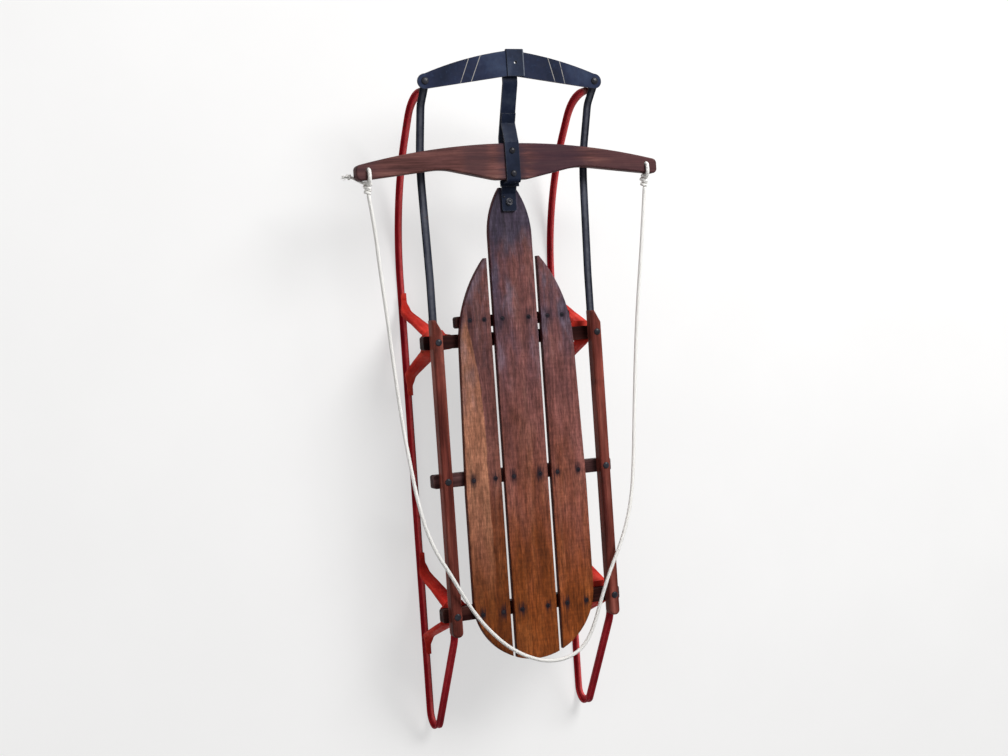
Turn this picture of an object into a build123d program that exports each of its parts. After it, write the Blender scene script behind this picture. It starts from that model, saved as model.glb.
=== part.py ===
from build123d import *
import math
import os

# Steering runner sled, child size. Lengths in millimetres.
# X points forward, Y to the sled's left, Z up. The ground is Z = 0.
# Stations along X are counted from the front rail bolts, and the finished
# pieces are shifted so that the origin is under the middle of the sled.

# Rails and benches
rail_top = 172.0
rail_bench_inset = 18.0
rail_width = 17.5
rail_thickness = 19.0
rail_front_reach = 36.0
rail_rear_reach = 34.0
rail_nose_chamfer = 10.5
rail_nose_chamfer_run = 20.0
rail_tail_round = 8.0
rail_edge_round = 4.0
middle_bench_x = -223.0
rear_bench_x = -440.0
bench_width = 22.0
bench_thickness = 19.0
bench_half_length = 158.0
bench_corner_round = 4.0
bench_edge_round = 2.0
cleat_x = 30.0
cleat_width = 19.0
cleat_slat_inset = 6.5

# Deck slats
slat_thickness = 9.5
slat_edge_round = 1.5
centre_slat_half_width = 38.0
slat_gap = 6.5
side_slat_rail_gap = 33.0
side_slat_front_taper = 6.5
deck_tail_reach = 88.0
centre_slat_tip_x = 244.0
centre_slat_tip_half_width = 14.0
centre_slat_shoulder_x = 165.0
side_slat_tip_x = 131.0
side_slat_tip_width = 4.0
side_slat_shoulder_x = -8.0
side_slat_waist_x = -250.0

# Steel runners: an inverted tee with a steering groove in its foot
foot_width = 12.5
foot_thickness = 3.5
web_thickness = 4.0
runner_depth = 12.5
groove_width = 6.0
groove_depth = 1.2
tail_x = -651.0
tail_radius = 26.0
tail_angle = 33.0
tail_bend_radius = 60.0
rise_radius = 390.0
rise_start_x = 100.2
rise_corner_x = 234.5
curl_corner_x = 403.0
curl_radius = 90.0
curl_lean = 2.0
tip_drop = 14.0
runner_splay = 0.5

# Knees: pressed steel arches between the runners and the benches
knee_thickness = 3.5
knee_foot_half = 4.5
knee_shank_inner = 10.0
knee_shank_outer = 13.0
knee_head_inner = 16.0
knee_top_inner = 20.0
knee_top_outer = 14.5
knee_foot_reach = 87.0
knee_ankle_reach = 66.0
knee_leg_reach = 58.0
knee_shank_reach = 50.0
knee_head_reach = 30.0
knee_top_reach = 15.0
knee_foot_radius = 24.0
knee_top_radius = 16.0
knee_plate_front_reach = 20.0
knee_plate_rear_reach = 14.0
knee_plate_tip_reach = 11.5
knee_plate_round = 4.0
knee_plate_inner_reach = 38.0
knee_lug_length = 26.0
knee_lug_thickness = 2.5
knee_lug_drop = 8.0

# Side straps: flat spring steel from the front bench to the bumper
strap_width = 13.0
strap_thickness = 4.0
strap_rear_reach = 13.0
strap_rise_x = 285.0
strap_rise_radius = 240.0
strap_kick_x = 375.0
strap_kick_height = 8.0
strap_kick_radius = 30.0
strap_tab_x = 400.0
strap_tab_radius = 9.0
strap_tab_reach = 11.0

# Gap between pieces that seat on each other with no bolt through them
seat_gap = 0.3

# Flexing front: each strap and runner front turns about one upright line
flex_x = 100.0
flex_gap = 0.3
flex_lip = 2.0

# Bumper
bumper_bolt_x = 408.0
bumper_bolt_spread = 6.5
bumper_top = 38.5
bumper_thickness = 3.5
bumper_apex_x = 456.5
bumper_back_x = 416.5
bumper_end_width = 24.0
bumper_end_x = 395.5
bumper_front_bow = 5.0
clip_width = 29.0
clip_thickness = 2.0
clip_seat = 0.15
clip_rear_x = 415.5
clip_inner_fold_radius = 0.4
clip_outer_fold_radius = 2.4
hitch_hole_radius = 2.6
hitch_hole_x = 437.0
hitch_hole_y = -8.0

# Steering lever: bar, long strap, hood and pivot
pivot_x = 220.0
lever_width = 25.0
lever_thickness = 4.0
lever_front_x = 427.0
lever_front_bend_x = 406.0
lever_bar_bend_x = 322.0
lever_dip_front_x = 243.0
lever_dip_rear_x = 234.0
lever_rear_x = 205.0
lever_bend_radius = 14.0
lever_dip_radius = 5.6
lever_end_round = 3.0
lever_plate_gap = 0.3
hood_width = 24.0
hood_thickness = 3.0
hood_front_x = 360.0
hood_foot_x = 345.0
hood_rear_foot_x = 244.0
hood_bend_radius = 4.5
hood_foot_radius = 2.1
hood_clearance = 1.0
neck_width = 32.0
bar_half_length = 262.0
bar_thickness = 19.0
bar_front_x = 312.0
bar_front_sweep = 31.0
bar_rear_x = 254.0
bar_arm_rear_x = 273.0
bar_arm_y = 118.0
bar_hub_y = 28.0
bar_end_rear_x = 257.0
bar_arm_radius = 110.0
bar_hub_radius = 46.0
bar_end_round = 8.0
bar_edge_round = 3.0
bar_bolt_front_x = 299.5
bar_bolt_rear_x = 263.0
rope_hole_x = 273.5
rope_hole_inset = 20.0
rope_hole_radius = 4.5

# Bolts
rail_bolt_radius = 3.2
rail_head_radius = 5.6
rail_head_height = 2.6
small_bolt_radius = 3.0
small_head_radius = 6.0
small_head_height = 3.0
bolt_seat = 0.1
bolt_play = 0.1
nut_radius = 5.6
nut_height = 4.5
thin_nut_height = 2.5
nut_gap = 0.3
thread_end = 1.0

# Rope
rope_diameter = 6.0
rope_lift = 3.7
knot_radius = 7.0
knot_x = 244.0
knot_drop = 12.0
loop_bend_radius = 6.4
loop_lean = 4.0
loop_gap = 2.0

# How far cutting shapes reach past what they cut
cut_reach = 60.0

# Places across the sled worked out from the sizes above
rail_y = bench_half_length - rail_bench_inset
deck_half_width = rail_y - side_slat_rail_gap
cleat_half_length = deck_half_width - cleat_slat_inset
knee_plate_inner_y = rail_y - knee_plate_inner_reach
knee_plate_outer_y = rail_y + knee_top_outer
bumper_bolt_y = rail_y + bumper_bolt_spread
rope_hole_y = bar_half_length - rope_hole_inset

# Levels worked out from the sizes above
bench_top = rail_top - rail_thickness
bench_bottom = bench_top - bench_thickness
front_bench_top = bench_top - strap_thickness
front_bench_bottom = front_bench_top - bench_thickness
slat_top = bench_top + slat_thickness
bar_bottom = rail_top
bar_top = bar_bottom + bar_thickness
bumper_top_z = rail_top + bumper_top
bumper_bottom_z = bumper_top_z - bumper_thickness
strap_z = front_bench_top + strap_thickness / 2
strap_tab_z = bumper_bottom_z - nut_gap - strap_thickness / 2
clip_bottom_z = bumper_bottom_z - clip_seat - clip_thickness
clip_top_z = bumper_top_z + clip_seat + clip_thickness
lever_front_z = clip_bottom_z - nut_gap - lever_thickness / 2
lever_bar_z = bar_bottom - lever_thickness / 2
lever_plate_z = slat_top + lever_plate_gap + lever_thickness / 2
clip_nose_x = bumper_apex_x + clip_seat + clip_thickness
origin_x = (clip_nose_x + tail_x) / 2
flex_splay = math.degrees(math.atan2(bumper_bolt_y - rail_y, bumper_bolt_x - flex_x))

os.makedirs("parts", exist_ok=True)


def save(node, shape):
    """Shift a piece so that the origin lies under the middle of the sled, and write it."""
    export_step(shape.moved(Location((-origin_x, 0, 0))), f"parts/{node}.step")


def block(x0, x1, y0, y1, z0, z1):
    """Box given by its lowest and highest corners."""
    centre = ((x0 + x1) / 2, (y0 + y1) / 2, (z0 + z1) / 2)
    return Pos(*centre) * Box(abs(x1 - x0), abs(y1 - y0), abs(z1 - z0))


def post(x, y, z0, z1, radius):
    """Upright cylinder between two levels."""
    return Pos(x, y, (z0 + z1) / 2) * Cylinder(radius, z1 - z0)


def nut(x, y, z_top, height=nut_height):
    """Hexagonal nut under the level z_top."""
    return Pos(x, y, z_top - height) * extrude(RegularPolygon(nut_radius, 6), height)


def slab(outline, z_low, thickness):
    """Plate with a closed plan outline."""
    return Pos(0, 0, z_low) * extrude(make_face(outline), thickness)


def side_path(points, y, radii):
    """Path of straight runs and tangent arcs in an upright plane along X."""
    return FilletPolyline(*[(x, y, z) for x, z in points], radius=radii)


def swept(path, section):
    """Section, drawn with its first axis along Y, carried along a side path."""
    start = Plane(origin=path @ 0, x_dir=(0, 1, 0), z_dir=path % 0)
    return sweep(start * section, path=path)


def flat_bar(points, y, radii, width, thickness):
    """Flat strip bent in an upright plane along X."""
    return swept(side_path(points, y, radii), Rectangle(width, thickness))


def mirrored(shape):
    """The same piece on the sled's right side."""
    return mirror(shape, about=Plane.XZ)


def fixed_end(shape, y, radius):
    """Hollow the front end of a fixed strip so that the flexing strip can turn in it."""
    low = -cut_reach
    high = rail_top + cut_reach
    socket = post(flex_x, y, low, high, radius + flex_gap)
    ahead = block(flex_x - flex_lip, flex_x + cut_reach, y - cut_reach, y + cut_reach, low, high)
    return shape - socket - ahead


def turning_end(shape, y, radius):
    """Round the rear end of a flexing strip about the line it turns on."""
    low = -cut_reach
    high = rail_top + cut_reach
    nose = post(flex_x, y, low, high, radius)
    behind = block(flex_x - cut_reach, flex_x, y - cut_reach, y + cut_reach, low, high)
    return shape - (behind - nose)


def splayed(shape, angle):
    """Turn a left flexing strip outward about the line it flexes on."""
    return shape.rotate(Axis((flex_x, rail_y, 0), (0, 0, 1)), angle)


# Deck slats

deck_tail_centre_x = rear_bench_x - deck_tail_reach + deck_half_width


def deck_tail_x(y):
    """Rear edge of the deck: one round sweep across the three slats."""
    return deck_tail_centre_x - math.sqrt(max(deck_half_width ** 2 - y ** 2, 0))


def tail_sweep(y0, y1):
    """Part of the round rear edge between two widths."""
    middle = (y0 + y1) / 2
    ends = [(deck_tail_x(y), y) for y in (y0, middle, y1)]
    return ThreePointArc(*ends)


def centre_slat():
    half = centre_slat_half_width
    tip = centre_slat_tip_half_width
    outline = Curve() + [
        Line((deck_tail_x(half), half), (centre_slat_shoulder_x, half)),
        TangentArc((centre_slat_shoulder_x, half), (centre_slat_tip_x, tip), tangent=(1, 0)),
        Line((centre_slat_tip_x, tip), (centre_slat_tip_x, -tip)),
        TangentArc((centre_slat_shoulder_x, -half), (centre_slat_tip_x, -tip), tangent=(1, 0)),
        Line((centre_slat_shoulder_x, -half), (deck_tail_x(half), -half)),
        tail_sweep(-half, half),
    ]
    slat = slab(outline, bench_top, slat_thickness)
    slat = fillet(slat.faces().sort_by(Axis.Z)[-1].edges(), slat_edge_round)
    return slat - post(pivot_x, 0, 0, bar_top, small_bolt_radius + bolt_seat)


def side_slat():
    inner = centre_slat_half_width + slat_gap
    outer = deck_half_width
    shoulder = outer - side_slat_front_taper
    tip = inner + side_slat_tip_width
    taper = (side_slat_shoulder_x - side_slat_waist_x, shoulder - outer)
    outline = Curve() + [
        Line((deck_tail_x(inner), inner), (side_slat_tip_x, inner)),
        Line((side_slat_tip_x, inner), (side_slat_tip_x, tip)),
        TangentArc((side_slat_shoulder_x, shoulder), (side_slat_tip_x, tip), tangent=taper),
        Line((side_slat_shoulder_x, shoulder), (side_slat_waist_x, outer)),
        Line((side_slat_waist_x, outer), (deck_tail_centre_x, outer)),
        tail_sweep(outer, inner),
    ]
    slat = slab(outline, bench_top, slat_thickness)
    return fillet(slat.faces().sort_by(Axis.Z)[-1].edges(), slat_edge_round)


save("slat_center", centre_slat())
left_slat = side_slat()
save("slat_left", left_slat)
save("slat_right", mirrored(left_slat))


# Benches and cleat

bench_rows = [
    # node, station, top level, half length, width, what bolts through it
    ("bench_front", 0.0, front_bench_top, bench_half_length, bench_width, True),
    ("bench_middle", middle_bench_x, bench_top, bench_half_length, bench_width, True),
    ("bench_rear", rear_bench_x, bench_top, bench_half_length, bench_width, True),
    ("cleat_front", cleat_x, bench_top, cleat_half_length, cleat_width, False),
]

for node, x, top, half, width, bolted in bench_rows:
    bench = block(x - width / 2, x + width / 2, -half, half, top - bench_thickness, top)
    bench = fillet(bench.edges().filter_by(Axis.Z), bench_corner_round)
    bench = fillet(bench.faces().sort_by(Axis.Z)[0].edges(), bench_edge_round)
    if bolted:
        for y in (rail_y, -rail_y):
            bench -= post(x, y, 0, rail_top, rail_bolt_radius + bolt_seat)
    save(node, bench)


# Rails

def rail(y):
    """Rail centred on y. Both are cut alike, with the front corner taken off on the right."""
    left = y + rail_width / 2
    right = y - rail_width / 2
    front = rail_front_reach
    rear = rear_bench_x - rail_rear_reach
    outline = Polyline(
        (rear, left),
        (front, left),
        (front, right + rail_nose_chamfer),
        (front - rail_nose_chamfer_run, right),
        (rear, right),
        close=True,
    )
    body = slab(outline, bench_top, rail_thickness)
    tail_edges = body.edges().filter_by(Axis.Z).group_by(Axis.X)[0]
    body = fillet(tail_edges, rail_tail_round)
    top_edges = body.faces().sort_by(Axis.Z)[-1].edges()
    body = fillet(top_edges, rail_edge_round)
    for x in (0.0, middle_bench_x, rear_bench_x):
        body -= post(x, y, 0, rail_top + cut_reach, rail_bolt_radius + bolt_seat)
    return body


save("rail_left", rail(rail_y))
save("rail_right", rail(-rail_y))


# Runners

def tee(side):
    """Runner section: foot on the path, web on the given side of it."""
    foot = foot_width / 2
    web = web_thickness / 2
    groove = groove_width / 2
    outline = Polyline(
        (-foot, 0),
        (-groove, 0),
        (0, side * groove_depth),
        (groove, 0),
        (foot, 0),
        (foot, side * foot_thickness),
        (web, side * foot_thickness),
        (web, side * runner_depth),
        (-web, side * runner_depth),
        (-web, side * foot_thickness),
        (-foot, side * foot_thickness),
        close=True,
    )
    return make_face(outline)


def runner_rear():
    turn = 180.0 - tail_angle
    bend_reach = tail_radius * math.tan(math.radians(turn / 2))
    corner_x = tail_x + tail_radius - bend_reach
    rise = bench_top / math.tan(math.radians(tail_angle))
    top_x = corner_x + rise
    points = [
        (flex_x + foot_width, 0),
        (corner_x, 0),
        (top_x, bench_top),
        (rear_bench_x - bench_width / 2 - seat_gap, bench_top),
    ]
    path = side_path(points, rail_y, [tail_radius, tail_bend_radius])
    return fixed_end(swept(path, tee(-1)), rail_y, foot_width / 2)


def strap_points():
    """Centre line of a side strap from the front bench to the bumper."""
    return [
        (-strap_rear_reach, strap_z),
        (strap_rise_x, strap_z),
        (strap_kick_x, rail_top + strap_kick_height),
        (strap_tab_x, strap_tab_z),
        (bumper_bolt_x + strap_tab_reach, strap_tab_z),
    ]


strap_radii = [strap_rise_radius, strap_kick_radius, strap_tab_radius]


def above_strap():
    """Space above the rising end of a side strap, where a runner tip stops."""
    x0, z0 = strap_points()[2]
    x1, z1 = strap_points()[3]
    length = math.hypot(x1 - x0, z1 - z0)
    along = ((x1 - x0) / length, (z1 - z0) / length)
    down = (along[1], -along[0])
    drop = strap_thickness / 2 + seat_gap
    middle = (x0 + down[0] * drop, z0 + down[1] * drop)
    reach = cut_reach * 3
    near = (middle[0] - along[0] * reach, middle[1] - along[1] * reach)
    far = (middle[0] + along[0] * reach, middle[1] + along[1] * reach)
    lifted = [(x - down[0] * cut_reach, z - down[1] * cut_reach) for x, z in (far, near)]
    outline = Polyline(*[(x, 0, z) for x, z in [near, far] + lifted], close=True)
    return extrude(make_face(outline), reach, dir=(0, 1, 0), both=True)


def runner_front():
    slope = 2 * math.atan((rise_corner_x - rise_start_x) / rise_radius)
    curl_z = (curl_corner_x - rise_corner_x) * math.tan(slope)
    tip_z = strap_tab_z - tip_drop
    tip_x = curl_corner_x - (tip_z - curl_z) * math.tan(math.radians(curl_lean))
    points = [
        (flex_x - foot_width, 0),
        (rise_corner_x, 0),
        (curl_corner_x, curl_z),
        (tip_x, tip_z),
    ]
    path = side_path(points, rail_y, [rise_radius, curl_radius])
    body = swept(path, tee(1)) - above_strap()
    return turning_end(body, rail_y, foot_width / 2)


left_runner = runner_rear()
save("runner_left", left_runner)
save("runner_right", mirrored(left_runner))
left_front = splayed(runner_front(), runner_splay)
save("runner_front_left", left_front)
save("runner_front_right", mirrored(left_front))


# Side straps

def strap_fixed():
    points = [strap_points()[0], (flex_x + strap_width, strap_z)]
    middle_x = (points[0][0] + points[1][0]) / 2
    length = points[1][0] - points[0][0]
    strip = Pos(middle_x, rail_y, strap_z) * Box(length, strap_width, strap_thickness)
    strip -= post(0, rail_y, 0, rail_top, rail_bolt_radius + bolt_seat)
    return fixed_end(strip, rail_y, strap_width / 2)


def strap_flexing():
    points = [(flex_x - strap_width, strap_z)] + strap_points()[1:]
    strip = flat_bar(points, rail_y, strap_radii, strap_width, strap_thickness)
    strip = splayed(turning_end(strip, rail_y, strap_width / 2), flex_splay)
    hole = post(bumper_bolt_x, bumper_bolt_y, 0, rail_top + cut_reach, small_bolt_radius + bolt_play)
    return strip - hole


left_root = strap_fixed()
save("strap_root_left", left_root)
save("strap_root_right", mirrored(left_root))
left_strap = strap_flexing()
save("side_strap_left", left_strap)
save("side_strap_right", mirrored(left_strap))


# Knees

def knee(x, bottom):
    """Pressed arch under a bench, with a plate above and lugs beside the web."""
    foot_z = runner_depth + knee_thickness / 2
    top_z = bottom - knee_thickness / 2
    points = [
        (x - knee_foot_reach, foot_z),
        (x - knee_leg_reach, foot_z),
        (x - knee_top_reach, top_z),
        (x + knee_top_reach, top_z),
        (x + knee_leg_reach, foot_z),
        (x + knee_foot_reach, foot_z),
    ]
    radii = [knee_foot_radius, knee_top_radius, knee_top_radius, knee_foot_radius]
    arch = flat_bar(points, rail_y, radii, 2 * knee_top_inner, knee_thickness)
    foot_end = knee_foot_reach + knee_thickness
    half_plan = [
        # reach from the bench's middle, inner edge, outer edge
        (foot_end, -knee_foot_half, knee_foot_half),
        (knee_ankle_reach, -knee_foot_half, knee_foot_half),
        (knee_shank_reach, -knee_shank_inner, knee_shank_outer),
        (knee_head_reach, -knee_head_inner, knee_top_outer),
        (knee_top_reach, -knee_top_inner, knee_top_outer),
    ]
    inner_edge = [(x + reach, rail_y + inner) for reach, inner, _ in half_plan]
    inner_edge += [(x - reach, rail_y + inner) for reach, inner, _ in reversed(half_plan)]
    outer_edge = [(x - reach, rail_y + outer) for reach, _, outer in half_plan]
    outer_edge += [(x + reach, rail_y + outer) for reach, _, outer in reversed(half_plan)]
    plan = Polyline(*inner_edge, *outer_edge, close=True)
    arch &= slab(plan, 0, rail_top)
    flange = Polyline(
        (x - knee_plate_rear_reach, knee_plate_outer_y),
        (x + knee_plate_front_reach, knee_plate_outer_y),
        (x + knee_plate_front_reach, rail_y - knee_shank_inner),
        (x + knee_plate_tip_reach, knee_plate_inner_y),
        (x - knee_plate_tip_reach, knee_plate_inner_y),
        (x - knee_plate_rear_reach, rail_y - knee_shank_inner),
        close=True,
    )
    plate = slab(flange, bottom - knee_thickness, knee_thickness)
    plate = fillet(plate.edges().filter_by(Axis.Z), knee_plate_round)
    lug_outer = rail_y - web_thickness / 2
    for end in (-1, 1):
        tip = x + end * knee_foot_reach
        lug = block(
            tip - end * knee_lug_length, tip,
            lug_outer - knee_lug_thickness, lug_outer,
            runner_depth - knee_lug_drop, runner_depth + knee_thickness,
        )
        arch += lug
    body = arch + plate
    return body - post(x, rail_y, 0, rail_top, rail_bolt_radius + bolt_seat)


knee_rows = [
    # name, station, level of the bench's underside
    ("front", 0.0, front_bench_bottom),
    ("rear", rear_bench_x, bench_bottom),
]

for name, x, bottom in knee_rows:
    left_knee = knee(x, bottom)
    save(f"knee_{name}_left", left_knee)
    save(f"knee_{name}_right", mirrored(left_knee))


# Rail bolts: domed heads on the rails, nuts under the benches or knees

def dome(x, y, z, radius, height):
    """Low round head standing on a level."""
    sphere_radius = (radius ** 2 + height ** 2) / (2 * height)
    ball = Pos(x, y, z + height - sphere_radius) * Sphere(sphere_radius)
    return ball & post(x, y, z, z + 2 * height, radius)


rail_bolt_rows = [
    # station, underside of the stack that the bolt clamps
    (0.0, front_bench_bottom - knee_thickness),
    (middle_bench_x, bench_bottom),
    (rear_bench_x, bench_bottom - knee_thickness),
]


def rail_bolt(x, underside):
    shank = post(x, rail_y, underside - nut_height - thread_end, rail_top, rail_bolt_radius)
    head = dome(x, rail_y, rail_top, rail_head_radius, rail_head_height)
    return shank + head + nut(x, rail_y, underside)


left_bolts = [rail_bolt(x, underside) for x, underside in rail_bolt_rows]
save("rail_bolts", Compound(left_bolts + [mirrored(bolt) for bolt in left_bolts]))


# Bumper: a bowed flat steel bar bolted on the strap tabs

def bumper():
    half = bumper_bolt_y
    front_end = (bumper_end_x + bumper_end_width, half)
    rear_end = (bumper_end_x, half)
    bow_x = (front_end[0] + bumper_apex_x) / 2 + bumper_front_bow
    round_x = bumper_end_x + bumper_end_width / 2
    front = [
        ThreePointArc((bumper_apex_x, 0), (bow_x, half / 2), front_end),
        ThreePointArc(front_end, (round_x, half + bumper_end_width / 2), rear_end),
        Line(rear_end, (bumper_back_x, 0)),
    ]
    left_half = slab(Curve() + front + [Line((bumper_back_x, 0), (bumper_apex_x, 0))],
                     bumper_bottom_z, bumper_thickness)
    whole = left_half + mirrored(left_half)
    for y in (bumper_bolt_y, -bumper_bolt_y):
        whole -= post(bumper_bolt_x, y, 0, rail_top + cut_reach, small_bolt_radius + bolt_seat)
    return whole - post(hitch_hole_x, hitch_hole_y, 0, rail_top + cut_reach, hitch_hole_radius)


def bumper_clip():
    """Steel leaf folded round the front edge of the bumper."""
    right = hitch_hole_y - clip_width / 2
    left = hitch_hole_y + clip_width / 2
    outer = block(clip_rear_x, clip_nose_x, right, left, clip_bottom_z, clip_top_z)
    outer = fillet(outer.edges().filter_by(Axis.Y).group_by(Axis.X)[-1], clip_outer_fold_radius)
    inner = block(clip_rear_x - cut_reach, clip_nose_x - clip_thickness, right - cut_reach, left + cut_reach,
                  clip_bottom_z + clip_thickness, clip_top_z - clip_thickness)
    inner = fillet(inner.edges().filter_by(Axis.Y).group_by(Axis.X)[-1], clip_inner_fold_radius)
    leaf = outer - inner
    return leaf - post(hitch_hole_x, hitch_hole_y, 0, rail_top + cut_reach, hitch_hole_radius)


def bumper_bolt():
    y = bumper_bolt_y
    tab_bottom = strap_tab_z - strap_thickness / 2
    shank_bottom = tab_bottom - nut_gap - nut_height - thread_end
    shank = post(bumper_bolt_x, y, shank_bottom, bumper_top_z, small_bolt_radius)
    head = dome(bumper_bolt_x, y, bumper_top_z, small_head_radius, small_head_height)
    return shank + head + nut(bumper_bolt_x, y, tab_bottom - nut_gap)


save("bumper_bar", bumper())
save("bumper_clip", bumper_clip())
left_bumper_bolt = bumper_bolt()
save("bumper_bolts", Compound([left_bumper_bolt, mirrored(left_bumper_bolt)]))


# Steering bar and its lever

def steering_bar():
    end = bar_half_length
    rear_points = [
        (bar_end_rear_x, end),
        (bar_arm_rear_x, bar_arm_y),
        (bar_rear_x, bar_hub_y),
        (bar_rear_x, -bar_hub_y),
        (bar_arm_rear_x, -bar_arm_y),
        (bar_end_rear_x, -end),
    ]
    rear_edge = FilletPolyline(*rear_points, radius=[
        bar_arm_radius, bar_hub_radius, bar_hub_radius, bar_arm_radius])
    front_end_x = bar_front_x - bar_front_sweep
    front_edge = ThreePointArc((front_end_x, -end), (bar_front_x, 0), (front_end_x, end))
    ends = [
        Line((bar_end_rear_x, -end), (front_end_x, -end)),
        Line((front_end_x, end), (bar_end_rear_x, end)),
    ]
    body = slab(Curve() + [rear_edge, ends[0], front_edge, ends[1]], bar_bottom, bar_thickness)
    corners = body.edges().filter_by(Axis.Z)
    corners = [edge for edge in corners if abs(abs(edge.center().Y) - end) < 0.1]
    body = fillet(corners, bar_end_round)
    body = fillet(body.faces().sort_by(Axis.Z)[-1].edges(), bar_edge_round)
    body = fillet(body.faces().sort_by(Axis.Z)[0].edges(), bar_edge_round)
    for y in (rope_hole_y, -rope_hole_y):
        body -= post(rope_hole_x, y, 0, rail_top + cut_reach, rope_hole_radius)
    for x in (bar_bolt_front_x, bar_bolt_rear_x):
        body -= post(x, 0, 0, rail_top + cut_reach, small_bolt_radius + bolt_seat)
    return body


def lever_strap():
    """Long strap from under the bumper, beneath the bar, to the pivot plate."""
    points = [
        (lever_front_x, lever_front_z),
        (lever_front_bend_x, lever_front_z),
        (lever_bar_bend_x, lever_bar_z),
        (lever_dip_front_x, lever_bar_z),
        (lever_dip_rear_x, lever_plate_z),
        (lever_rear_x, lever_plate_z),
    ]
    radii = [lever_bend_radius] * 2 + [lever_dip_radius] * 2
    body = flat_bar(points, 0, radii, lever_width, lever_thickness)
    ends = body.edges().filter_by(Axis.Z)
    body = fillet(ends, lever_end_round)
    for x in (bar_bolt_front_x, bar_bolt_rear_x):
        body -= post(x, 0, 0, rail_top + cut_reach, small_bolt_radius + bolt_seat)
    return body - post(pivot_x, 0, 0, rail_top + cut_reach, small_bolt_radius + bolt_play)


def lever_hood():
    """Shorter strap over the bar, both feet on the long strap."""
    over_z = bar_top + hood_thickness / 2
    slope = (lever_front_z - lever_bar_z) / (lever_front_bend_x - lever_bar_bend_x)
    lift = (lever_thickness + hood_thickness) / 2
    front_lift = lift * math.hypot(1, slope) + seat_gap
    front_z = lever_bar_z + front_lift + (hood_front_x - lever_bar_bend_x) * slope
    foot_z = lever_bar_z + front_lift + (hood_foot_x - lever_bar_bend_x) * slope
    hood_back_x = bar_rear_x - hood_thickness - hood_clearance
    points = [
        (hood_front_x, front_z),
        (hood_foot_x, foot_z),
        (bar_front_x + hood_clearance, over_z),
        (hood_back_x, over_z),
        (hood_back_x, lever_bar_z + lift),
        (hood_rear_foot_x, lever_bar_z + lift),
    ]
    radii = [hood_bend_radius] * 3 + [hood_foot_radius]
    body = flat_bar(points, 0, radii, hood_width, hood_thickness)
    neck_z = lever_bar_z + lever_thickness / 2
    neck_front_x = bar_rear_x - seat_gap
    body += block(hood_rear_foot_x, neck_front_x, -neck_width / 2, neck_width / 2,
                  neck_z, neck_z + hood_thickness)
    for x in (bar_bolt_front_x, bar_bolt_rear_x):
        body -= post(x, 0, 0, rail_top + cut_reach, small_bolt_radius + bolt_seat)
    return body


def lever_bolt(x):
    """Bolt through hood, bar and long strap."""
    top = bar_top + hood_thickness
    under = lever_bar_z - lever_thickness / 2
    shank = post(x, 0, under - thin_nut_height, top, small_bolt_radius)
    head = dome(x, 0, top, small_head_radius, small_head_height)
    return shank + head + nut(x, 0, under, thin_nut_height)


def pivot_bolt():
    """Bolt that the lever turns on, held in the centre slat's tip."""
    plate_top = lever_plate_z + lever_thickness / 2
    shank = post(pivot_x, 0, bench_top - nut_height - thread_end, plate_top + nut_gap, small_bolt_radius)
    head = dome(pivot_x, 0, plate_top + nut_gap, small_head_radius, small_head_height)
    return shank + head + nut(pivot_x, 0, bench_top)


save("steering_bar", steering_bar())
save("lever_strap", lever_strap())
save("lever_hood", lever_hood())
save("lever_bolts", Compound([lever_bolt(bar_bolt_front_x), lever_bolt(bar_bolt_rear_x)]))
save("pivot_bolt", pivot_bolt())


# Rope: from the left hitch, back along the left side, over the left rail, across
# the rear of the deck, over the right rail and forward to the right hitch.
rope_points = [
    # station, left, height
    (238, rope_hole_y, 180),
    (190, 233, 172),
    (124, 225, 159),
    (52, 216, 150),
    (-18, 210, 146),
    (-84, 206, 149),
    (-142, 203, 156),
    (-196, 199, 166),
    (-246, 195, 175),
    (-292, 187, 182),
    (-332, 173, 185),
    (-366, 153, 185),
    (-402, 134, 183),
    (-438, 112, 177),
    (-470, 87, 174),
    (-500, 57, 174),
    (-522, 22, 174),
    (-534, -14, 173),
    (-532, -50, 174),
    (-516, -79, 174),
    (-486, -97, 175),
    (-452, -108, 179),
    (-420, -118, 184),
    (-389, -132, 185),
    (-360, -148, 185),
    (-324, -166, 181),
    (-280, -183, 173),
    (-228, -196, 162),
    (-172, -206, 153),
    (-112, -214, 148),
    (-48, -221, 147),
    (18, -227, 150),
    (80, -232, 157),
    (138, -236, 166),
    (192, -239, 174),
    (238, -rope_hole_y, 180),
]


def arc_radii(points, share=0.45):
    """Largest tangent arcs: a share of the shorter run at each corner."""
    radii = []
    for before, at, after in zip(points, points[1:], points[2:]):
        run_in = Vector(*at) - Vector(*before)
        run_out = Vector(*after) - Vector(*at)
        turn = math.radians(run_in.get_angle(run_out))
        radii.append(share * min(run_in.length, run_out.length) / math.tan(turn / 2))
    return radii


def tube(points, radii, diameter):
    """Round cord along straight runs and tangent arcs."""
    path = FilletPolyline(*points, radius=radii)
    start = Plane(origin=path @ 0, z_dir=path % 0)
    body = sweep(start * Circle(diameter / 2), path=path)
    ratio = body.volume / (math.pi * diameter ** 2 / 4 * path.length)
    print(f"cord length {path.length:.0f} mm, least radius {min(radii):.1f}, volume share {ratio:.4f}")
    return body


radii = arc_radii(rope_points)
print("rope radii", " ".join(f"{radius:.0f}" for radius in radii))
rope = tube(rope_points, radii, rope_diameter)


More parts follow.
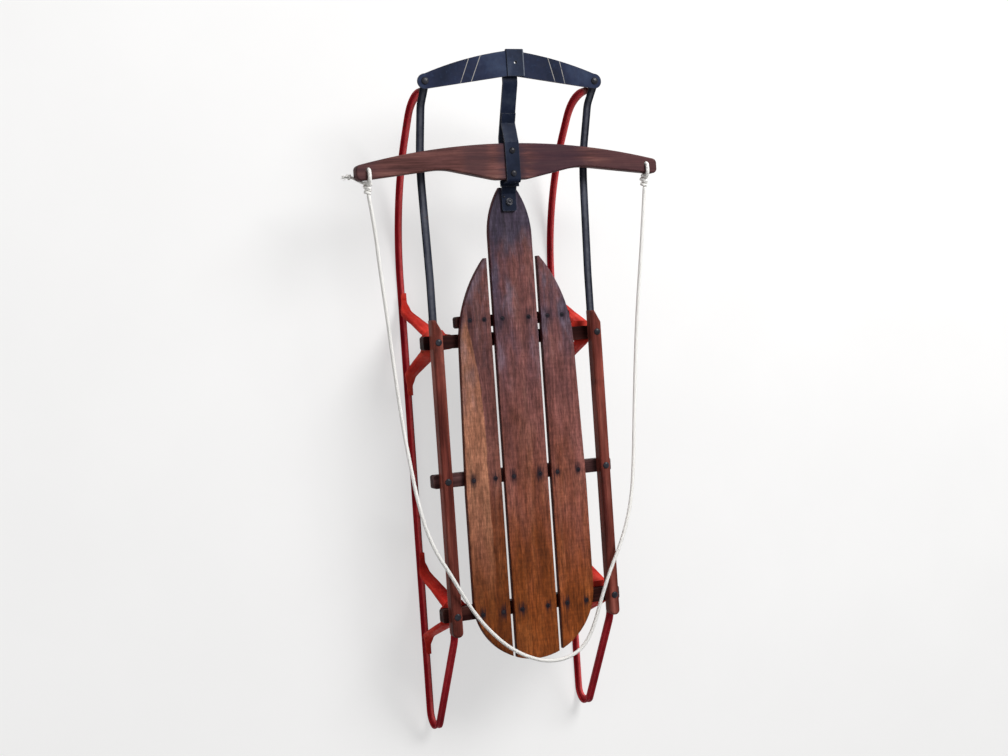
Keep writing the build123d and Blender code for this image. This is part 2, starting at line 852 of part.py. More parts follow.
def hitch():
    """Loop through the bar's end hole, and the knot behind the bar that closes it."""
    y = rope_hole_y
    over = bar_top + rope_lift
    under = bar_bottom - rope_lift
    knot_z = bar_top - knot_drop
    points = [
        (knot_x, y, knot_z),
        (knot_x + loop_lean, y, over),
        (rope_hole_x, y, over),
        (rope_hole_x, y, under),
        (knot_x + loop_lean, y, under),
        (knot_x, y, knot_z - loop_gap),
    ]
    loop = tube(points, [loop_bend_radius] * 4, rope_diameter)
    return loop + Pos(knot_x, y, knot_z) * Sphere(knot_radius)


knot_centre = Vector(knot_x, rope_hole_y, bar_top - knot_drop)
left_knot = Pos(*knot_centre) * Sphere(knot_radius + seat_gap)
save("rope", rope - left_knot - mirrored(left_knot))
left_hitch = hitch()
save("hitch_left", left_hitch)
save("hitch_right", mirrored(left_hitch))
print(f"origin station {origin_x:.3f}, splay {flex_splay:.4f}")
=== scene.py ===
import math
import random
import bmesh
import bpy
from mathutils import Matrix, Vector


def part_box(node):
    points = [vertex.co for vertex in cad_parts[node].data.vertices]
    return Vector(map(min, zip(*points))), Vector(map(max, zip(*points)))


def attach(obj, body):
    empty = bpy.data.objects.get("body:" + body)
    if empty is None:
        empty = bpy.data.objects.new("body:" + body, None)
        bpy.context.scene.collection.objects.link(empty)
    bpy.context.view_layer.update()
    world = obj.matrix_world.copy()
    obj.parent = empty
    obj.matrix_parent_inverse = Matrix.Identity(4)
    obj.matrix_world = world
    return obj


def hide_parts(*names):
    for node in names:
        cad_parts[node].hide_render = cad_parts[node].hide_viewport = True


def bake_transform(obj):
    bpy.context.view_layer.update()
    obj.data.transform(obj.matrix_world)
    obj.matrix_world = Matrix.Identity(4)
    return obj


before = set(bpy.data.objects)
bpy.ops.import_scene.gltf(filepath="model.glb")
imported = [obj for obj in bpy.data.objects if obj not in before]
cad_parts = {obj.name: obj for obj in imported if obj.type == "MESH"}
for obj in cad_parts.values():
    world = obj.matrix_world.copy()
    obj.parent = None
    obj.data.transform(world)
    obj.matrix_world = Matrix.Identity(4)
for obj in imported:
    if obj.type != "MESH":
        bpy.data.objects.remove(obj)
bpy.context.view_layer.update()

benchLow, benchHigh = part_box("bench_front")
boltStation = (benchLow.x + benchHigh.x) / 2    # X of the front rail bolts
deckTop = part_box("slat_center")[1].z


def place(x, y, z):
    # a point of the sled's drawing in millimetres, X counted from the front rail bolts
    return Vector((boltStation + x / 1000, y / 1000, z / 1000))


def unit(value):
    return min(1.0, max(0.0, value))


def fades(at, start, rise, end, fall):
    # 0 up to the start and past the end, 1 in between
    return unit((at - start) / rise) * unit((end - at) / fall)


def addNode(tree, kind, values=None, **settings):
    # a shader or geometry node with its settings, and with values or links on its sockets
    made = tree.nodes.new(kind)
    for key, value in settings.items():
        setattr(made, key, value)
    for socket, value in (values or {}).items():
        value = getattr(value, "socket", value)
        if isinstance(value, bpy.types.NodeSocket):
            tree.links.new(value, made.inputs[socket])
        else:
            made.inputs[socket].default_value = value
    return made


class Signal:
    # a shader node's output, which can be added, multiplied and shaped

    def __init__(self, tree, socket):
        self.tree = tree
        self.socket = socket

    def through(self, kind, values, output=0, **settings):
        return Signal(self.tree, addNode(self.tree, kind, values, **settings).outputs[output])

    def maths(self, operation, other=0.0, clamp=False):
        return self.through("ShaderNodeMath", {0: self, 1: other}, operation=operation, use_clamp=clamp)

    def __add__(self, other):
        return self.maths("ADD", other)

    def __sub__(self, other):
        return self.maths("SUBTRACT", other)

    def __mul__(self, other):
        return self.maths("MULTIPLY", other)

    def rest(self):
        # what is missing to 1
        return self.through("ShaderNodeMath", {0: 1.0, 1: self}, operation="SUBTRACT")

    def part(self, axis):
        return self.through("ShaderNodeSeparateXYZ", {0: self}, axis)

    def moved(self, scale, shift=(0, 0, 0), turn=(0, 0, 0)):
        values = {"Vector": self, "Scale": scale, "Location": shift, "Rotation": turn}
        return self.through("ShaderNodeMapping", values)

    def noise(self, scale=1.0, detail=4.0, rough=0.55, twist=0.0):
        values = {"Vector": self, "Scale": scale, "Detail": detail, "Roughness": rough, "Distortion": twist}
        return self.through("ShaderNodeTexNoise", values, "Fac")

    def streaks(self, along, across, shift, detail, rough=0.6, twist=0.0):
        # noise drawn out along X
        return self.moved((along, across, across), shift).noise(1.0, detail, rough, twist)

    def levels(self, low, high, fromZero=0.0, toOne=1.0):
        values = {"Value": self, "From Min": low, "From Max": high, "To Min": fromZero, "To Max": toOne}
        return self.through("ShaderNodeMapRange", values, clamp=True, interpolation_type="SMOOTHSTEP")

    def ramp(self, places, tones):
        made = addNode(self.tree, "ShaderNodeValToRGB", {"Fac": self})
        band = made.color_ramp
        while len(band.elements) < len(places):
            band.elements.new(0.5)
        for element, position, tone in zip(band.elements, places, tones):
            element.position = position
            element.color = (*tone, 1.0)
        return Signal(self.tree, made.outputs["Color"])

    def tinted(self, share, tone, mode="MIX"):
        return blendColour(self.tree, share, self, tone, mode)

    def shaded(self, factor):
        grey = self.through("ShaderNodeCombineColor", {0: factor, 1: factor, 2: factor})
        return self.tinted(1.0, grey, "MULTIPLY")


def blendColour(tree, share, a, b, mode="MIX"):
    mix = addNode(tree, "ShaderNodeMix", data_type="RGBA", blend_type=mode)
    for identifier, value in (("Factor_Float", share), ("A_Color", a), ("B_Color", b)):
        target = next(s for s in mix.inputs if s.identifier == identifier)
        if isinstance(value, Signal):
            tree.links.new(value.socket, target)
        else:
            target.default_value = value if identifier == "Factor_Float" else (*value, 1.0)
    return Signal(tree, next(s for s in mix.outputs if s.identifier == "Result_Color"))


def edgeMask(tree, reach):
    # 1 along convex and concave edges, 0 on open faces
    bevel = addNode(tree, "ShaderNodeBevel", {"Radius": reach}, samples=6).outputs[0]
    flat = addNode(tree, "ShaderNodeNewGeometry").outputs["Normal"]
    dot = addNode(tree, "ShaderNodeVectorMath", {0: bevel, 1: flat}, operation="DOT_PRODUCT").outputs["Value"]
    return Signal(tree, dot).rest().levels(0.0, 0.35)


def openFinish(name):
    finish = bpy.data.materials.new(name)
    finish.use_nodes = True
    tree = finish.node_tree
    tree.nodes.clear()
    return finish, tree, Signal(tree, addNode(tree, "ShaderNodeTexCoord").outputs["Object"])


def closeFinish(tree, colour, rough, height, bump, distance, sheen, fluff=0.0):
    shader = addNode(tree, "ShaderNodeBsdfPrincipled", {
        "Base Color": colour, "Roughness": rough, "Specular IOR Level": sheen, "Sheen Weight": fluff,
    })
    lift = addNode(tree, "ShaderNodeBump", {"Strength": bump, "Distance": distance, "Height": height})
    tree.links.new(lift.outputs[0], shader.inputs["Normal"])
    addNode(tree, "ShaderNodeOutputMaterial", {"Surface": shader.outputs[0]})


stageLook = {
    # pale floor and soft light
    "floorSize": 9.0,
    "floorTone": (0.80, 0.79, 0.78),
    "floorLight": (0.84, 0.83, 0.82),
    "floorWhite": 0.55,
    "worldStrength": 0.22,
    "keySize": 1.4,
    "keyPower": 104.0,
    "keyPlace": (1.7, -1.2, 2.3),
    "fillSize": 2.6,
    "fillPower": 13.0,
    "fillPlace": (0.4, 1.9, 2.4),
}

cameraLook = {
    # the reference view: place and axes in the sled's frame
    "lens": 53.571,
    "sensor": 36.0,
    "place": (0.1055, 0.9509, 2.4169),
    "right": (-0.068336, -0.922572, 0.379725),
    "down": (-0.997199, 0.074763, 0.002184),
    "ahead": (-0.030405, -0.378512, -0.925097),
}


def addObject(name, data):
    made = bpy.data.objects.new(name, data)
    bpy.context.scene.collection.objects.link(made)
    return made


def newMesh(name, points, edges, faces, flat=True):
    mesh = bpy.data.meshes.new(name)
    mesh.from_pydata([tuple(point) for point in points], edges, faces, shade_flat=flat)
    return mesh


def makeCamera(look):
    data = bpy.data.cameras.new("camera")
    data.lens = look["lens"]
    data.sensor_width = look["sensor"]
    data.clip_end = 50
    camera = addObject("camera", data)
    columns = [Vector(look["right"]), -Vector(look["down"]), -Vector(look["ahead"])]
    turn = Matrix([[column[row] for column in columns] for row in range(3)])
    camera.matrix_world = Matrix.Translation(look["place"]) @ turn.to_4x4()
    bpy.context.scene.camera = camera


def makeLamp(name, spot, size, power):
    data = bpy.data.lights.new(name, "AREA")
    data.size = size
    data.energy = power
    lamp = addObject(name, data)
    lamp.location = spot
    lamp.rotation_euler = (-Vector(spot)).to_track_quat("-Z", "Y").to_euler()


def whiteShare(tree):
    rays = addNode(tree, "ShaderNodeLightPath").outputs
    seen = Signal(tree, rays["Is Camera Ray"]).maths("ADD", rays["Is Glossy Ray"], True)
    return seen.maths("ADD", rays["Is Transmission Ray"], True)


def makeStage(look):
    half = look["floorSize"] / 2
    corners = [(-half, -half, 0), (half, -half, 0), (half, half, 0), (-half, half, 0)]
    mesh = newMesh("floor", corners, [], [(0, 1, 2, 3)])
    finish, tree, coords = openFinish("paleFloor")
    tone = blendColour(tree, coords.noise(3.0).levels(0.3, 0.7), look["floorTone"], look["floorLight"])
    matt = addNode(tree, "ShaderNodeBsdfPrincipled", {"Base Color": tone, "Roughness": 0.75})
    glow = addNode(tree, "ShaderNodeEmission", {"Color": (1, 1, 1, 1), "Strength": 1.0})
    share = whiteShare(tree) * look["floorWhite"]
    both = addNode(tree, "ShaderNodeMixShader", {0: share, 1: matt.outputs[0], 2: glow.outputs[0]})
    addNode(tree, "ShaderNodeOutputMaterial", {"Surface": both.outputs[0]})
    mesh.materials.append(finish)
    addObject("floor", mesh)

    world = bpy.data.worlds.new("softWorld")
    bpy.context.scene.world = world
    world.use_nodes = True
    tree = world.node_tree
    tree.nodes.clear()
    strength = whiteShare(tree) * (1.0 - look["worldStrength"]) + look["worldStrength"]
    sky = addNode(tree, "ShaderNodeBackground", {"Color": (1, 1, 1, 1), "Strength": strength})
    addNode(tree, "ShaderNodeOutputWorld", {"Surface": sky.outputs[0]})

    makeLamp("keyLamp", look["keyPlace"], look["keySize"], look["keyPower"])
    makeLamp("fillLamp", look["fillPlace"], look["fillSize"], look["fillPower"])
    bpy.context.scene.view_settings.view_transform = "Standard"


makeCamera(cameraLook)
makeStage(stageLook)
print("stage ready")


def linkMesh(name, verts, faces, finish, smooth=True):
    mesh = newMesh(name, verts, [], faces, flat=not smooth)
    mesh.materials.append(finish)
    return addObject(name, mesh)


def ringFaces(around, rings, flip=False):
    # quads between rings of vertices, and a cap at each end
    faces = []
    for ring in range(rings - 1):
        for i in range(around):
            a, b = ring * around + i, ring * around + (i + 1) % around
            faces.append((a, a + around, b + around, b) if flip else (a, b, b + around, a + around))
    first, last = range(around), range((rings - 1) * around, rings * around)
    caps = (first, reversed(last)) if flip else (reversed(first), last)
    return faces + [tuple(cap) for cap in caps]


def plainMesh(source, name):
    # the evaluated result of an object's modifiers as a new plain object
    depsgraph = bpy.context.evaluated_depsgraph_get()
    mesh = bpy.data.meshes.new_from_object(source.evaluated_get(depsgraph), depsgraph=depsgraph)
    mesh.name = name
    made = addObject(name, mesh)
    bpy.data.objects.remove(source)
    return made


def facesOut(mesh):
    work = bmesh.new()
    work.from_mesh(mesh)
    bmesh.ops.remove_doubles(work, verts=work.verts, dist=1e-6)
    bmesh.ops.recalc_face_normals(work, faces=work.faces)
    work.to_mesh(mesh)
    work.free()


def softShade(made, angle=40.0):
    # smooth faces, with the sharp edges kept and flats held flat
    made.data.shade_smooth()
    made.data.set_sharp_from_angle(angle=math.radians(angle))


def markAlong(mesh, marks):
    for spot, mark in zip(mesh.uv_layers.new(name="along").data, marks):
        spot.uv = mark


def joinAll(name, pieces):
    verts, faces, marks = [], [], []
    for piece in pieces:
        start = len(verts)
        verts += [tuple(vertex.co) for vertex in piece.data.vertices]
        layer = piece.data.uv_layers.active
        for face in piece.data.polygons:
            faces.append([start + index for index in face.vertices])
            if layer:
                marks += [tuple(layer.data[index].uv) for index in face.loop_indices]
    made = linkMesh(name, verts, faces, pieces[0].data.materials[0])
    if marks:
        markAlong(made.data, marks)
    for piece in pieces:
        bpy.data.objects.remove(piece)
    return made


def joinSteel(name, pieces):
    for piece in pieces:
        facesOut(piece.data)
    made = joinAll(name, pieces)
    softShade(made, 35)
    return made


def handOver(made, slot, body, *nodes):
    # hides the nodes that a piece stands for and hangs the piece on the body that it rides; slot is not used
    if nodes:
        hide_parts(*nodes)
    if body:
        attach(made, body)


ropeLook = {
    "diameter": 0.006,
    "carriers": 4,
    "pitch": 0.030,
    "relief": 0.035,
    "around": 20,
    "step": 0.0011,
}

ropeRoute = [
    # station, left, height in millimetres
    (238, 242, 180), (190, 233, 172), (124, 225, 159), (52, 216, 150), (-18, 210, 146), (-84, 206, 149),
    (-142, 203, 156), (-196, 199, 166), (-246, 195, 175), (-292, 187, 182), (-332, 173, 185),
    (-366, 153, 185), (-402, 134, 183), (-438, 112, 177), (-470, 87, 174), (-500, 57, 174),
    (-522, 22, 174), (-534, -14, 173), (-532, -50, 174), (-516, -79, 174), (-486, -97, 175),
    (-452, -108, 179), (-420, -118, 184), (-389, -132, 185), (-360, -148, 185), (-324, -166, 181),
    (-280, -183, 173), (-228, -196, 162), (-172, -206, 153), (-112, -214, 148), (-48, -221, 147),
    (18, -227, 150), (80, -232, 157), (138, -236, 166), (192, -239, 174), (238, -242, 180),
]


def splineLine(name, points):
    # a smooth line over the route's points, read back as points
    curve = bpy.data.curves.new(name, "CURVE")
    curve.dimensions = "3D"
    curve.resolution_u = 12
    spline = curve.splines.new("NURBS")
    spline.points.add(len(points) - 1)
    for point, spot in zip(spline.points, points):
        point.co = (*spot, 1.0)
    spline.order_u = 3
    spline.use_endpoint_u = True
    holder = addObject(name, curve)
    bpy.context.view_layer.update()
    depsgraph = bpy.context.evaluated_depsgraph_get()
    mesh = bpy.data.meshes.new_from_object(holder.evaluated_get(depsgraph))
    line = [vertex.co.copy() for vertex in mesh.vertices]
    bpy.data.meshes.remove(mesh)
    bpy.data.objects.remove(holder)
    bpy.data.curves.remove(curve)
    return line


def evenly(line, step):
    # the same line with points a step apart
    lengths = [0.0]
    for a, b in zip(line, line[1:]):
        lengths.append(lengths[-1] + (b - a).length)
    count = max(2, round(lengths[-1] / step))
    spots = []
    index = 0
    for i in range(count + 1):
        target = lengths[-1] * i / count
        while index < len(line) - 2 and lengths[index + 1] < target:
            index += 1
        span = lengths[index + 1] - lengths[index] or 1.0
        spots.append(line[index].lerp(line[index + 1], (target - lengths[index]) / span))
    return spots, lengths[-1]


def ropeTube(name, line, look, finish, radius=None):
    # braided cord: the radius rises and falls with the carriers that cross over each other
    spots, length = evenly(line, look["step"])
    around = look["around"]
    radius = radius or look["diameter"] / 2
    verts, marks = [], []
    side = (spots[1] - spots[0]).orthogonal().normalized()
    for i, spot in enumerate(spots):
        ahead = (spots[min(i + 1, len(spots) - 1)] - spots[max(i - 1, 0)]).normalized()
        side = (side - ahead * side.dot(ahead)).normalized()
        other = ahead.cross(side)
        along = length * i / (len(spots) - 1)
        turn = 2 * math.pi * along / look["pitch"]
        end = min(along, length - along) / radius
        rounding = 0.45 + 0.55 * math.sqrt(unit(end))
        for j in range(around):
            angle = 2 * math.pi * j / around
            weave = max(math.cos(look["carriers"] * (angle + way * turn)) for way in (1, -1))
            reach = radius * rounding * (1 - look["relief"] + look["relief"] * weave)
            verts.append(spot + (side * math.cos(angle) + other * math.sin(angle)) * reach)
            marks.append((along, j / around))
    made = linkMesh(name, verts, ringFaces(around, len(spots)), finish)
    markAlong(made.data, [marks[loop.vertex_index] for loop in made.data.loops])
    return made, length


def cottonFinish(name):
    finish, tree, coords = openFinish(name)
    along = Signal(tree, addNode(tree, "ShaderNodeUVMap", uv_map="along").outputs[0])
    values = {"Vector": along.moved((900.0, 12.0, 1.0)), "Scale": 1.0, "Distortion": 1.2, "Detail": 2.0}
    threads = along.through("ShaderNodeTexWave", values, "Fac", bands_direction="DIAGONAL")
    soil = coords.noise(9.0, 5.0, 0.65).levels(0.52, 0.78)
    cream = blendColour(tree, threads, (0.88, 0.86, 0.82), (0.94, 0.93, 0.90))
    cream = cream.tinted(soil * 0.25, (0.60, 0.55, 0.47))
    height = threads + coords.noise(1400.0, 3.0) * 0.8
    closeFinish(tree, cream, 0.85, height, 0.5, 0.0006, 0.25, fluff=0.25)
    return finish


cotton = cottonFinish("ropeCotton")
ropeLine = splineLine("ropeRoute", [place(*point) for point in ropeRoute])
rope, ropeLength = ropeTube("rope_tow", ropeLine, ropeLook, cotton)
handOver(rope, "rope_cotton", None, "rope")

hitchLook = {
    "holeX": 273.5,
    "holeY": 242.0,
    "over": 194.7,
    "under": 168.3,
    "tailX": 240.0,
    "knotX": 252.0,
    "knotZ": 179.5,
    "underShift": 7.0,
    "knots": ((0.0020, 0.00520), (-0.0065, 0.00416)),    # place along the rope, size
    "knotTurns": 1.4,
    "knotCord": 0.0026,
}


def knotLine(centre, along, up, size, turns):
    # a cord wound on itself: the turns of a small overhand knot
    side = along.cross(up)
    line = []
    count = 40
    for i in range(count + 1):
        share = i / count
        angle = 2 * math.pi * turns * share
        shift = (share - 0.5) * size * 1.9 + math.sin(angle) * size * 0.2
        line.append(centre + along * shift + (side * math.cos(angle) + up * math.sin(angle)) * size)
    return line


def makeHitch(name, look, mirror):
    y = look["holeY"] * mirror
    x, z = look["knotX"], look["knotZ"]
    low = y - look["underShift"]
    over, under, hole = look["over"], look["under"], look["holeX"]
    loop = [place(*spot) for spot in (
        (look["tailX"], y, z), (x - 4, y, z), (x - 1, y, over - 8), (x + 6, y, over), (hole - 6, y, over),
        (hole + 1, y, over - 1), (hole + 1, y, over - 8), (hole + 1, y, under + 8), (hole + 1, y, under + 1),
        (hole - 6, low, under), (x + 7, low, under), (x + 1, y, under + 5), (x - 4, y, z),
    )]
    pieces = [ropeTube(f"{name}_loop", splineLine(name, loop), ropeLook, cotton)[0]]
    centre = place(x - 3, y, z)
    away = Vector((-1, 0, -0.12)).normalized()
    up = Vector((0.1, 0, 1)).normalized()
    for number, (shift, size) in enumerate(look["knots"]):
        turns = knotLine(centre - away * shift, away, up, size, look["knotTurns"])
        pieces.append(ropeTube(f"{name}_knot{number}", turns, ropeLook, cotton, look["knotCord"])[0])
    return pieces


frayLook = {
    # station, place beyond the rope's hole, height
    "route": ((252, 0, 179.5), (258, 8, 169), (264, 18, 168), (266, 24, 169), (266, 31, 170)),
    "knot": (266, 27, 169.6),
    "strandsFrom": (266, 30, 170),
    "cord": 0.0022,
    "knotSize": 0.003,
    "knotCord": 0.0019,
    "knotTurns": 1.3,
    "strands": 14,
    "strand": 0.0004,
    "seed": 11,
}


def frayedEnd(name, look, y):
    # the short free end beyond the bar's left tip, knotted and frayed
    route = [place(x, y + out, z) for x, out, z in look["route"]]
    pieces = [ropeTube(name, splineLine(name, route), ropeLook, cotton, look["cord"])[0]]
    x, out, z = look["knot"]
    along, up = Vector((0, 1, 0)), Vector((0, 0, 1))
    knot = knotLine(place(x, y + out, z), along, up, look["knotSize"], look["knotTurns"])
    pieces.append(ropeTube(f"{name}_knot", knot, ropeLook, cotton, look["knotCord"])[0])
    x, out, z = look["strandsFrom"]
    thin = dict(ropeLook, around=6)
    draw = random.Random(look["seed"]).uniform
    for number in range(look["strands"]):
        start = place(x + draw(-1.5, 1.5), y + out, z + draw(-1.5, 1.5))
        end = start + Vector((draw(-0.004, 0.004), draw(0.005, 0.009), draw(-0.004, 0.003)))
        bend = start.lerp(end, 0.5) + Vector((draw(-0.001, 0.001), 0, draw(0, 0.0015)))
        strand = splineLine(name, [start, bend, end])
        pieces.append(ropeTube(f"{name}_strand{number}", strand, thin, cotton, look["strand"])[0])
    return pieces


freeEnd = frayedEnd("freeEnd", frayLook, hitchLook["holeY"])
leftHitch = joinAll("hitch_left_loop", makeHitch("hitchLeft", hitchLook, 1) + freeEnd)
rightHitch = joinAll("hitch_right_loop", makeHitch("hitchRight", hitchLook, -1))
handOver(leftHitch, "rope_cotton", "steering", "hitch_left")
handOver(rightHitch, "rope_cotton", "steering", "hitch_right")
tuple(ropeLine[0])
[tuple(p) for p in ropeLine]
tuple(place(-250, 0, 165))
tuple(place(238, 0, 165))
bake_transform(rope)
print("rope laid,", round(ropeLength, 3), "m")


nailStations = {
    # station and place across of the nails in each slat
    "left": [(32, 81), (32, 56), (-226, 93), (-226, 55), (-444, 93), (-444, 57)],
    "center": [(32, 24), (32, -22), (-226, 23), (-226, -24), (-444, 24), (-444, -22)],
    "right": [(32, -56), (32, -82), (-226, -55), (-226, -93), (-444, -57), (-444, -92)],
}

deckLook = {
    "stops": (0.36, 0.50, 0.66),
    "plum": ((0.112, 0.042, 0.040), (0.165, 0.062, 0.056), (0.225, 0.096, 0.082)),
    "warm": ((0.118, 0.028, 0.007), (0.172, 0.042, 0.009), (0.245, 0.072, 0.019)),
    "sap": ((0.205, 0.078, 0.042), (0.285, 0.118, 0.068), (0.360, 0.160, 0.092)),
    "smoke": (0.026, 0.024, 0.042),
    "haze": (0.125, 0.110, 0.150),
    "stain": (0.008, 0.005, 0.010),
    "sheen": 0.08,
    "pore": (0.020, 0.010, 0.009),
    # painted shade for the slats' sides, which face away from up
    "side": (0.050, 0.005, 0.005),
    "rubbed": (0.20, 0.085, 0.050),
    "sapX": -150.0,
    "stainReach": (0.015, 0.0075),
    "haloReach": (0.0042, 0.0042),
    "fade": (-0.36, 0.04),
    "coolFrom": (-0.05, 0.26),
    "nose": (0.16, 0.27),
    "lift": {"left": (0.78, 0.76), "center": (1.0, 1.0), "right": (1.10, 0.96)},    # behind, at the front
}


def grainHeights(coords, seed, wander):
    # streaks along X at three widths, with a slow wander across the board
    shift = (seed * 3.7, seed * 1.3, seed * 2.1)
    drift = coords.streaks(3.0, 8.0, shift, 2.0, 0.55)
    aside = drift.through("ShaderNodeCombineXYZ", {"Y": drift * (wander * 4)})
    wavy = coords.through("ShaderNodeVectorMath", {0: coords, 1: aside}, operation="ADD")
    bands = wavy.streaks(4.0, 75.0, shift, 5.0, 0.55, 0.4)
    lines = wavy.streaks(13.0, 620.0, shift, 3.0)
    pores = wavy.streaks(70.0, 2300.0, shift, 2.0, 0.5)
    return bands, lines, pores


def nearMarks(coords, marks, along, across):
    # how far off the nearest mark is, counted in reaches along and across the grain
    nearest = None
    for x, y, z in marks:
        scaled = coords.moved((1 / along, 1 / across, 1 / across), (-x / along, -y / across, -z / across))
        far = scaled.through("ShaderNodeVectorMath", {0: scaled}, "Value", operation="LENGTH")
        nearest = far if nearest is None else nearest.maths("MINIMUM", far)
    return nearest


def deckFinish(name, side, look, seed):
    # oiled hardwood gone plum and grey at the front, warm at the back
    finish, tree, coords = openFinish(name)
    bands, lines, pores = grainHeights(coords, seed, 0.004)
    cloud = coords.streaks(4.5, 14.0, (seed, seed, 0), 5.0)
    blot = coords.streaks(11.0, 34.0, (seed * 2, seed, 3), 5.0, 0.65)
    rough = coords.streaks(30.0, 140.0, (seed * 2, 0, seed), 5.0, 0.7)
    flecks = coords.streaks(160.0, 900.0, (seed, 3, 1), 3.0)
    ripple = coords.streaks(240.0, 30.0, (seed, 1, 2), 4.0)
    speckle = coords.streaks(75.0, 300.0, (seed, 5, seed), 4.0, 0.7)
    x = coords.part("X")
    wander = cloud - 0.5
    tone = bands * 0.6 + blot * 0.4
    plum, warm, sap = (tone.ramp(look["stops"], look[key]) for key in ("plum", "warm", "sap"))
    run = x + wander * 0.5
    colour = warm.tinted(run.levels(*look["fade"]), plum)
    colour = colour.shaded(run.levels(-0.12, 0.12, *look["lift"][side]))
    if side == "left":
        # a paler band of sapwood along the outer edge, behind the first row of nails
        inner = coords.part("Y") + (blot - 0.5) * 0.012
        bend = (x - place(look["sapX"], 0, 0).x).maths("MULTIPLY", 5.8, True)
        band = (inner - bend * bend * 0.018).levels(0.0660, 0.0682)
        behind = (x + wander * 0.1).levels(0.135, 0.105)
        ahead = x.levels(-0.36, -0.10)
        colour = colour.tinted(band * behind * (ahead * 0.9), sap)
    front = run.levels(*look["coolFrom"])
    nose = run.levels(*look["nose"])
    smoke = (cloud.levels(0.40, 0.58) * (front * 0.86)).maths("MAXIMUM", nose * 0.92)
    colour = colour.tinted(smoke, look["smoke"])
    haze = blot.levels(0.46, 0.66) * (front * 0.65) * (nose * 0.75).rest()
    colour = colour.tinted(haze, look["haze"])
    for streak, low, high, dark, light in (
        (lines, 0.34, 0.64, 0.80, 1.18), (rough, 0.3, 0.7, 0.72, 1.30), (speckle, 0.3, 0.7, 0.72, 1.30),
        (ripple, 0.3, 0.7, 0.88, 1.12), (cloud, 0.3, 0.7, 0.74, 1.20),
    ):
        colour = colour.shaded(streak.levels(low, high, dark, light))
    poreMask = (pores * 0.6 + flecks * 0.4).levels(0.56, 0.64)
    colour = colour.tinted(poreMask * 0.5, look["pore"])
    # iron stains run along the grain from each nail
    marks = [(*place(*spot, 0).xy, deckTop) for spot in nailStations[side]]
    ragged = nearMarks(coords, marks, *look["stainReach"]) + (lines - 0.5) * 2.2 + (blot - 0.5) * 1.6
    colour = colour.tinted(ragged.levels(1.15, 0.3) * x.levels(-0.1, 0.1, 0.8, 0.5), look["stain"])
    halo = nearMarks(coords, marks, *look["haloReach"])
    colour = colour.tinted(halo.levels(1.15, 0.75) * 0.92, look["stain"])
    # the faces turned away from up are painted darker: painted shade on the slats' sides in the gaps between them.
    # The top rims are rubbed
    up = Signal(tree, addNode(tree, "ShaderNodeNewGeometry").outputs["Normal"]).part("Z")
    colour = colour.tinted(up.levels(0.75, 0.3) * 0.8, look["side"])
    edge = edgeMask(tree, 0.0014) * rough.levels(0.42, 0.66)
    colour = colour.tinted(edge * 0.4, look["rubbed"])
    height = lines * 0.6 - poreMask * 0.6
    closeFinish(tree, colour, rough.levels(0.3, 0.7, 0.50, 0.74), height, 0.5, 0.0006, look["sheen"])
    return finish


boardLook = {
    "stops": (0.28, 0.50, 0.75),
    "pore": (0.010, 0.007, 0.006),
    "grime": (0.014, 0.010, 0.010),
    "sheen": 0.025,
}


def boardFinish(name, tones, seed, gloss, edgeWearAndGleam, edgeWearAndGleamShare, across=False, darkBands=(), look=boardLook):
    # planed hardwood bar; across=True runs the grain along Y
    finish, tree, coords = openFinish(name)
    aside = coords.part("Y")
    if across:
        coords = coords.moved((1, 1, 1), turn=(0, 0, math.pi / 2))
    bands, lines, pores = grainHeights(coords, seed, 0.002)
    rough = coords.streaks(12.0, 70.0, (0, seed, seed), 5.0, 0.65)
    broad = coords.streaks(5.0, 20.0, (seed, 1, 0), 4.0)
    colour = bands.ramp(look["stops"], tones)
    colour = colour.shaded(lines.levels(0.35, 0.62, 0.72, 1.08))
    poreMask = pores.levels(0.62, 0.70)
    colour = colour.tinted(poreMask * 0.4, look["pore"])
    colour = colour.shaded(broad.levels(0.32, 0.68, 0.70, 1.28))
    colour = colour.shaded(rough.levels(0.3, 0.7, 0.78, 1.25))
    grime = coords.noise(18.0, 6.0, 0.7).levels(0.52, 0.75)
    colour = colour.tinted(grime * 0.55, look["grime"])
    for y, reach, tone, share in darkBands:
        # a darker band at a station across the sled, ragged with the grain; the one at the middle is painted shade
        # beside the lever
        far = (aside - y / 1000).maths("ABSOLUTE") + (rough - 0.5) * (reach / 900)
        colour = colour.tinted(far.levels(reach / 1000, reach / 3000) * share, tone)
    # a tone along the edges: wear on the benches and bar, painted highlight on the rails, where the pale tone
    # stands for the gleam of varnish
    edge = edgeMask(tree, 0.0025) * rough.levels(0.38, 0.60)
    colour = colour.tinted(edge * edgeWearAndGleamShare, edgeWearAndGleam)
    height = lines * 0.6 - poreMask * 0.4
    closeFinish(tree, colour, rough.levels(0.3, 0.7, *gloss), height, 0.25, 0.0005, look["sheen"])
    return finish


# the rails' pale edge tone (0.46, 0.30, 0.27) is painted highlight along their rounded edges
railWood = boardFinish("railCherry", ((0.066, 0.015, 0.014), (0.175, 0.042, 0.031), (0.310, 0.105, 0.080)), 2.0,
                       (0.24, 0.44), (0.46, 0.30, 0.27), 0.5)
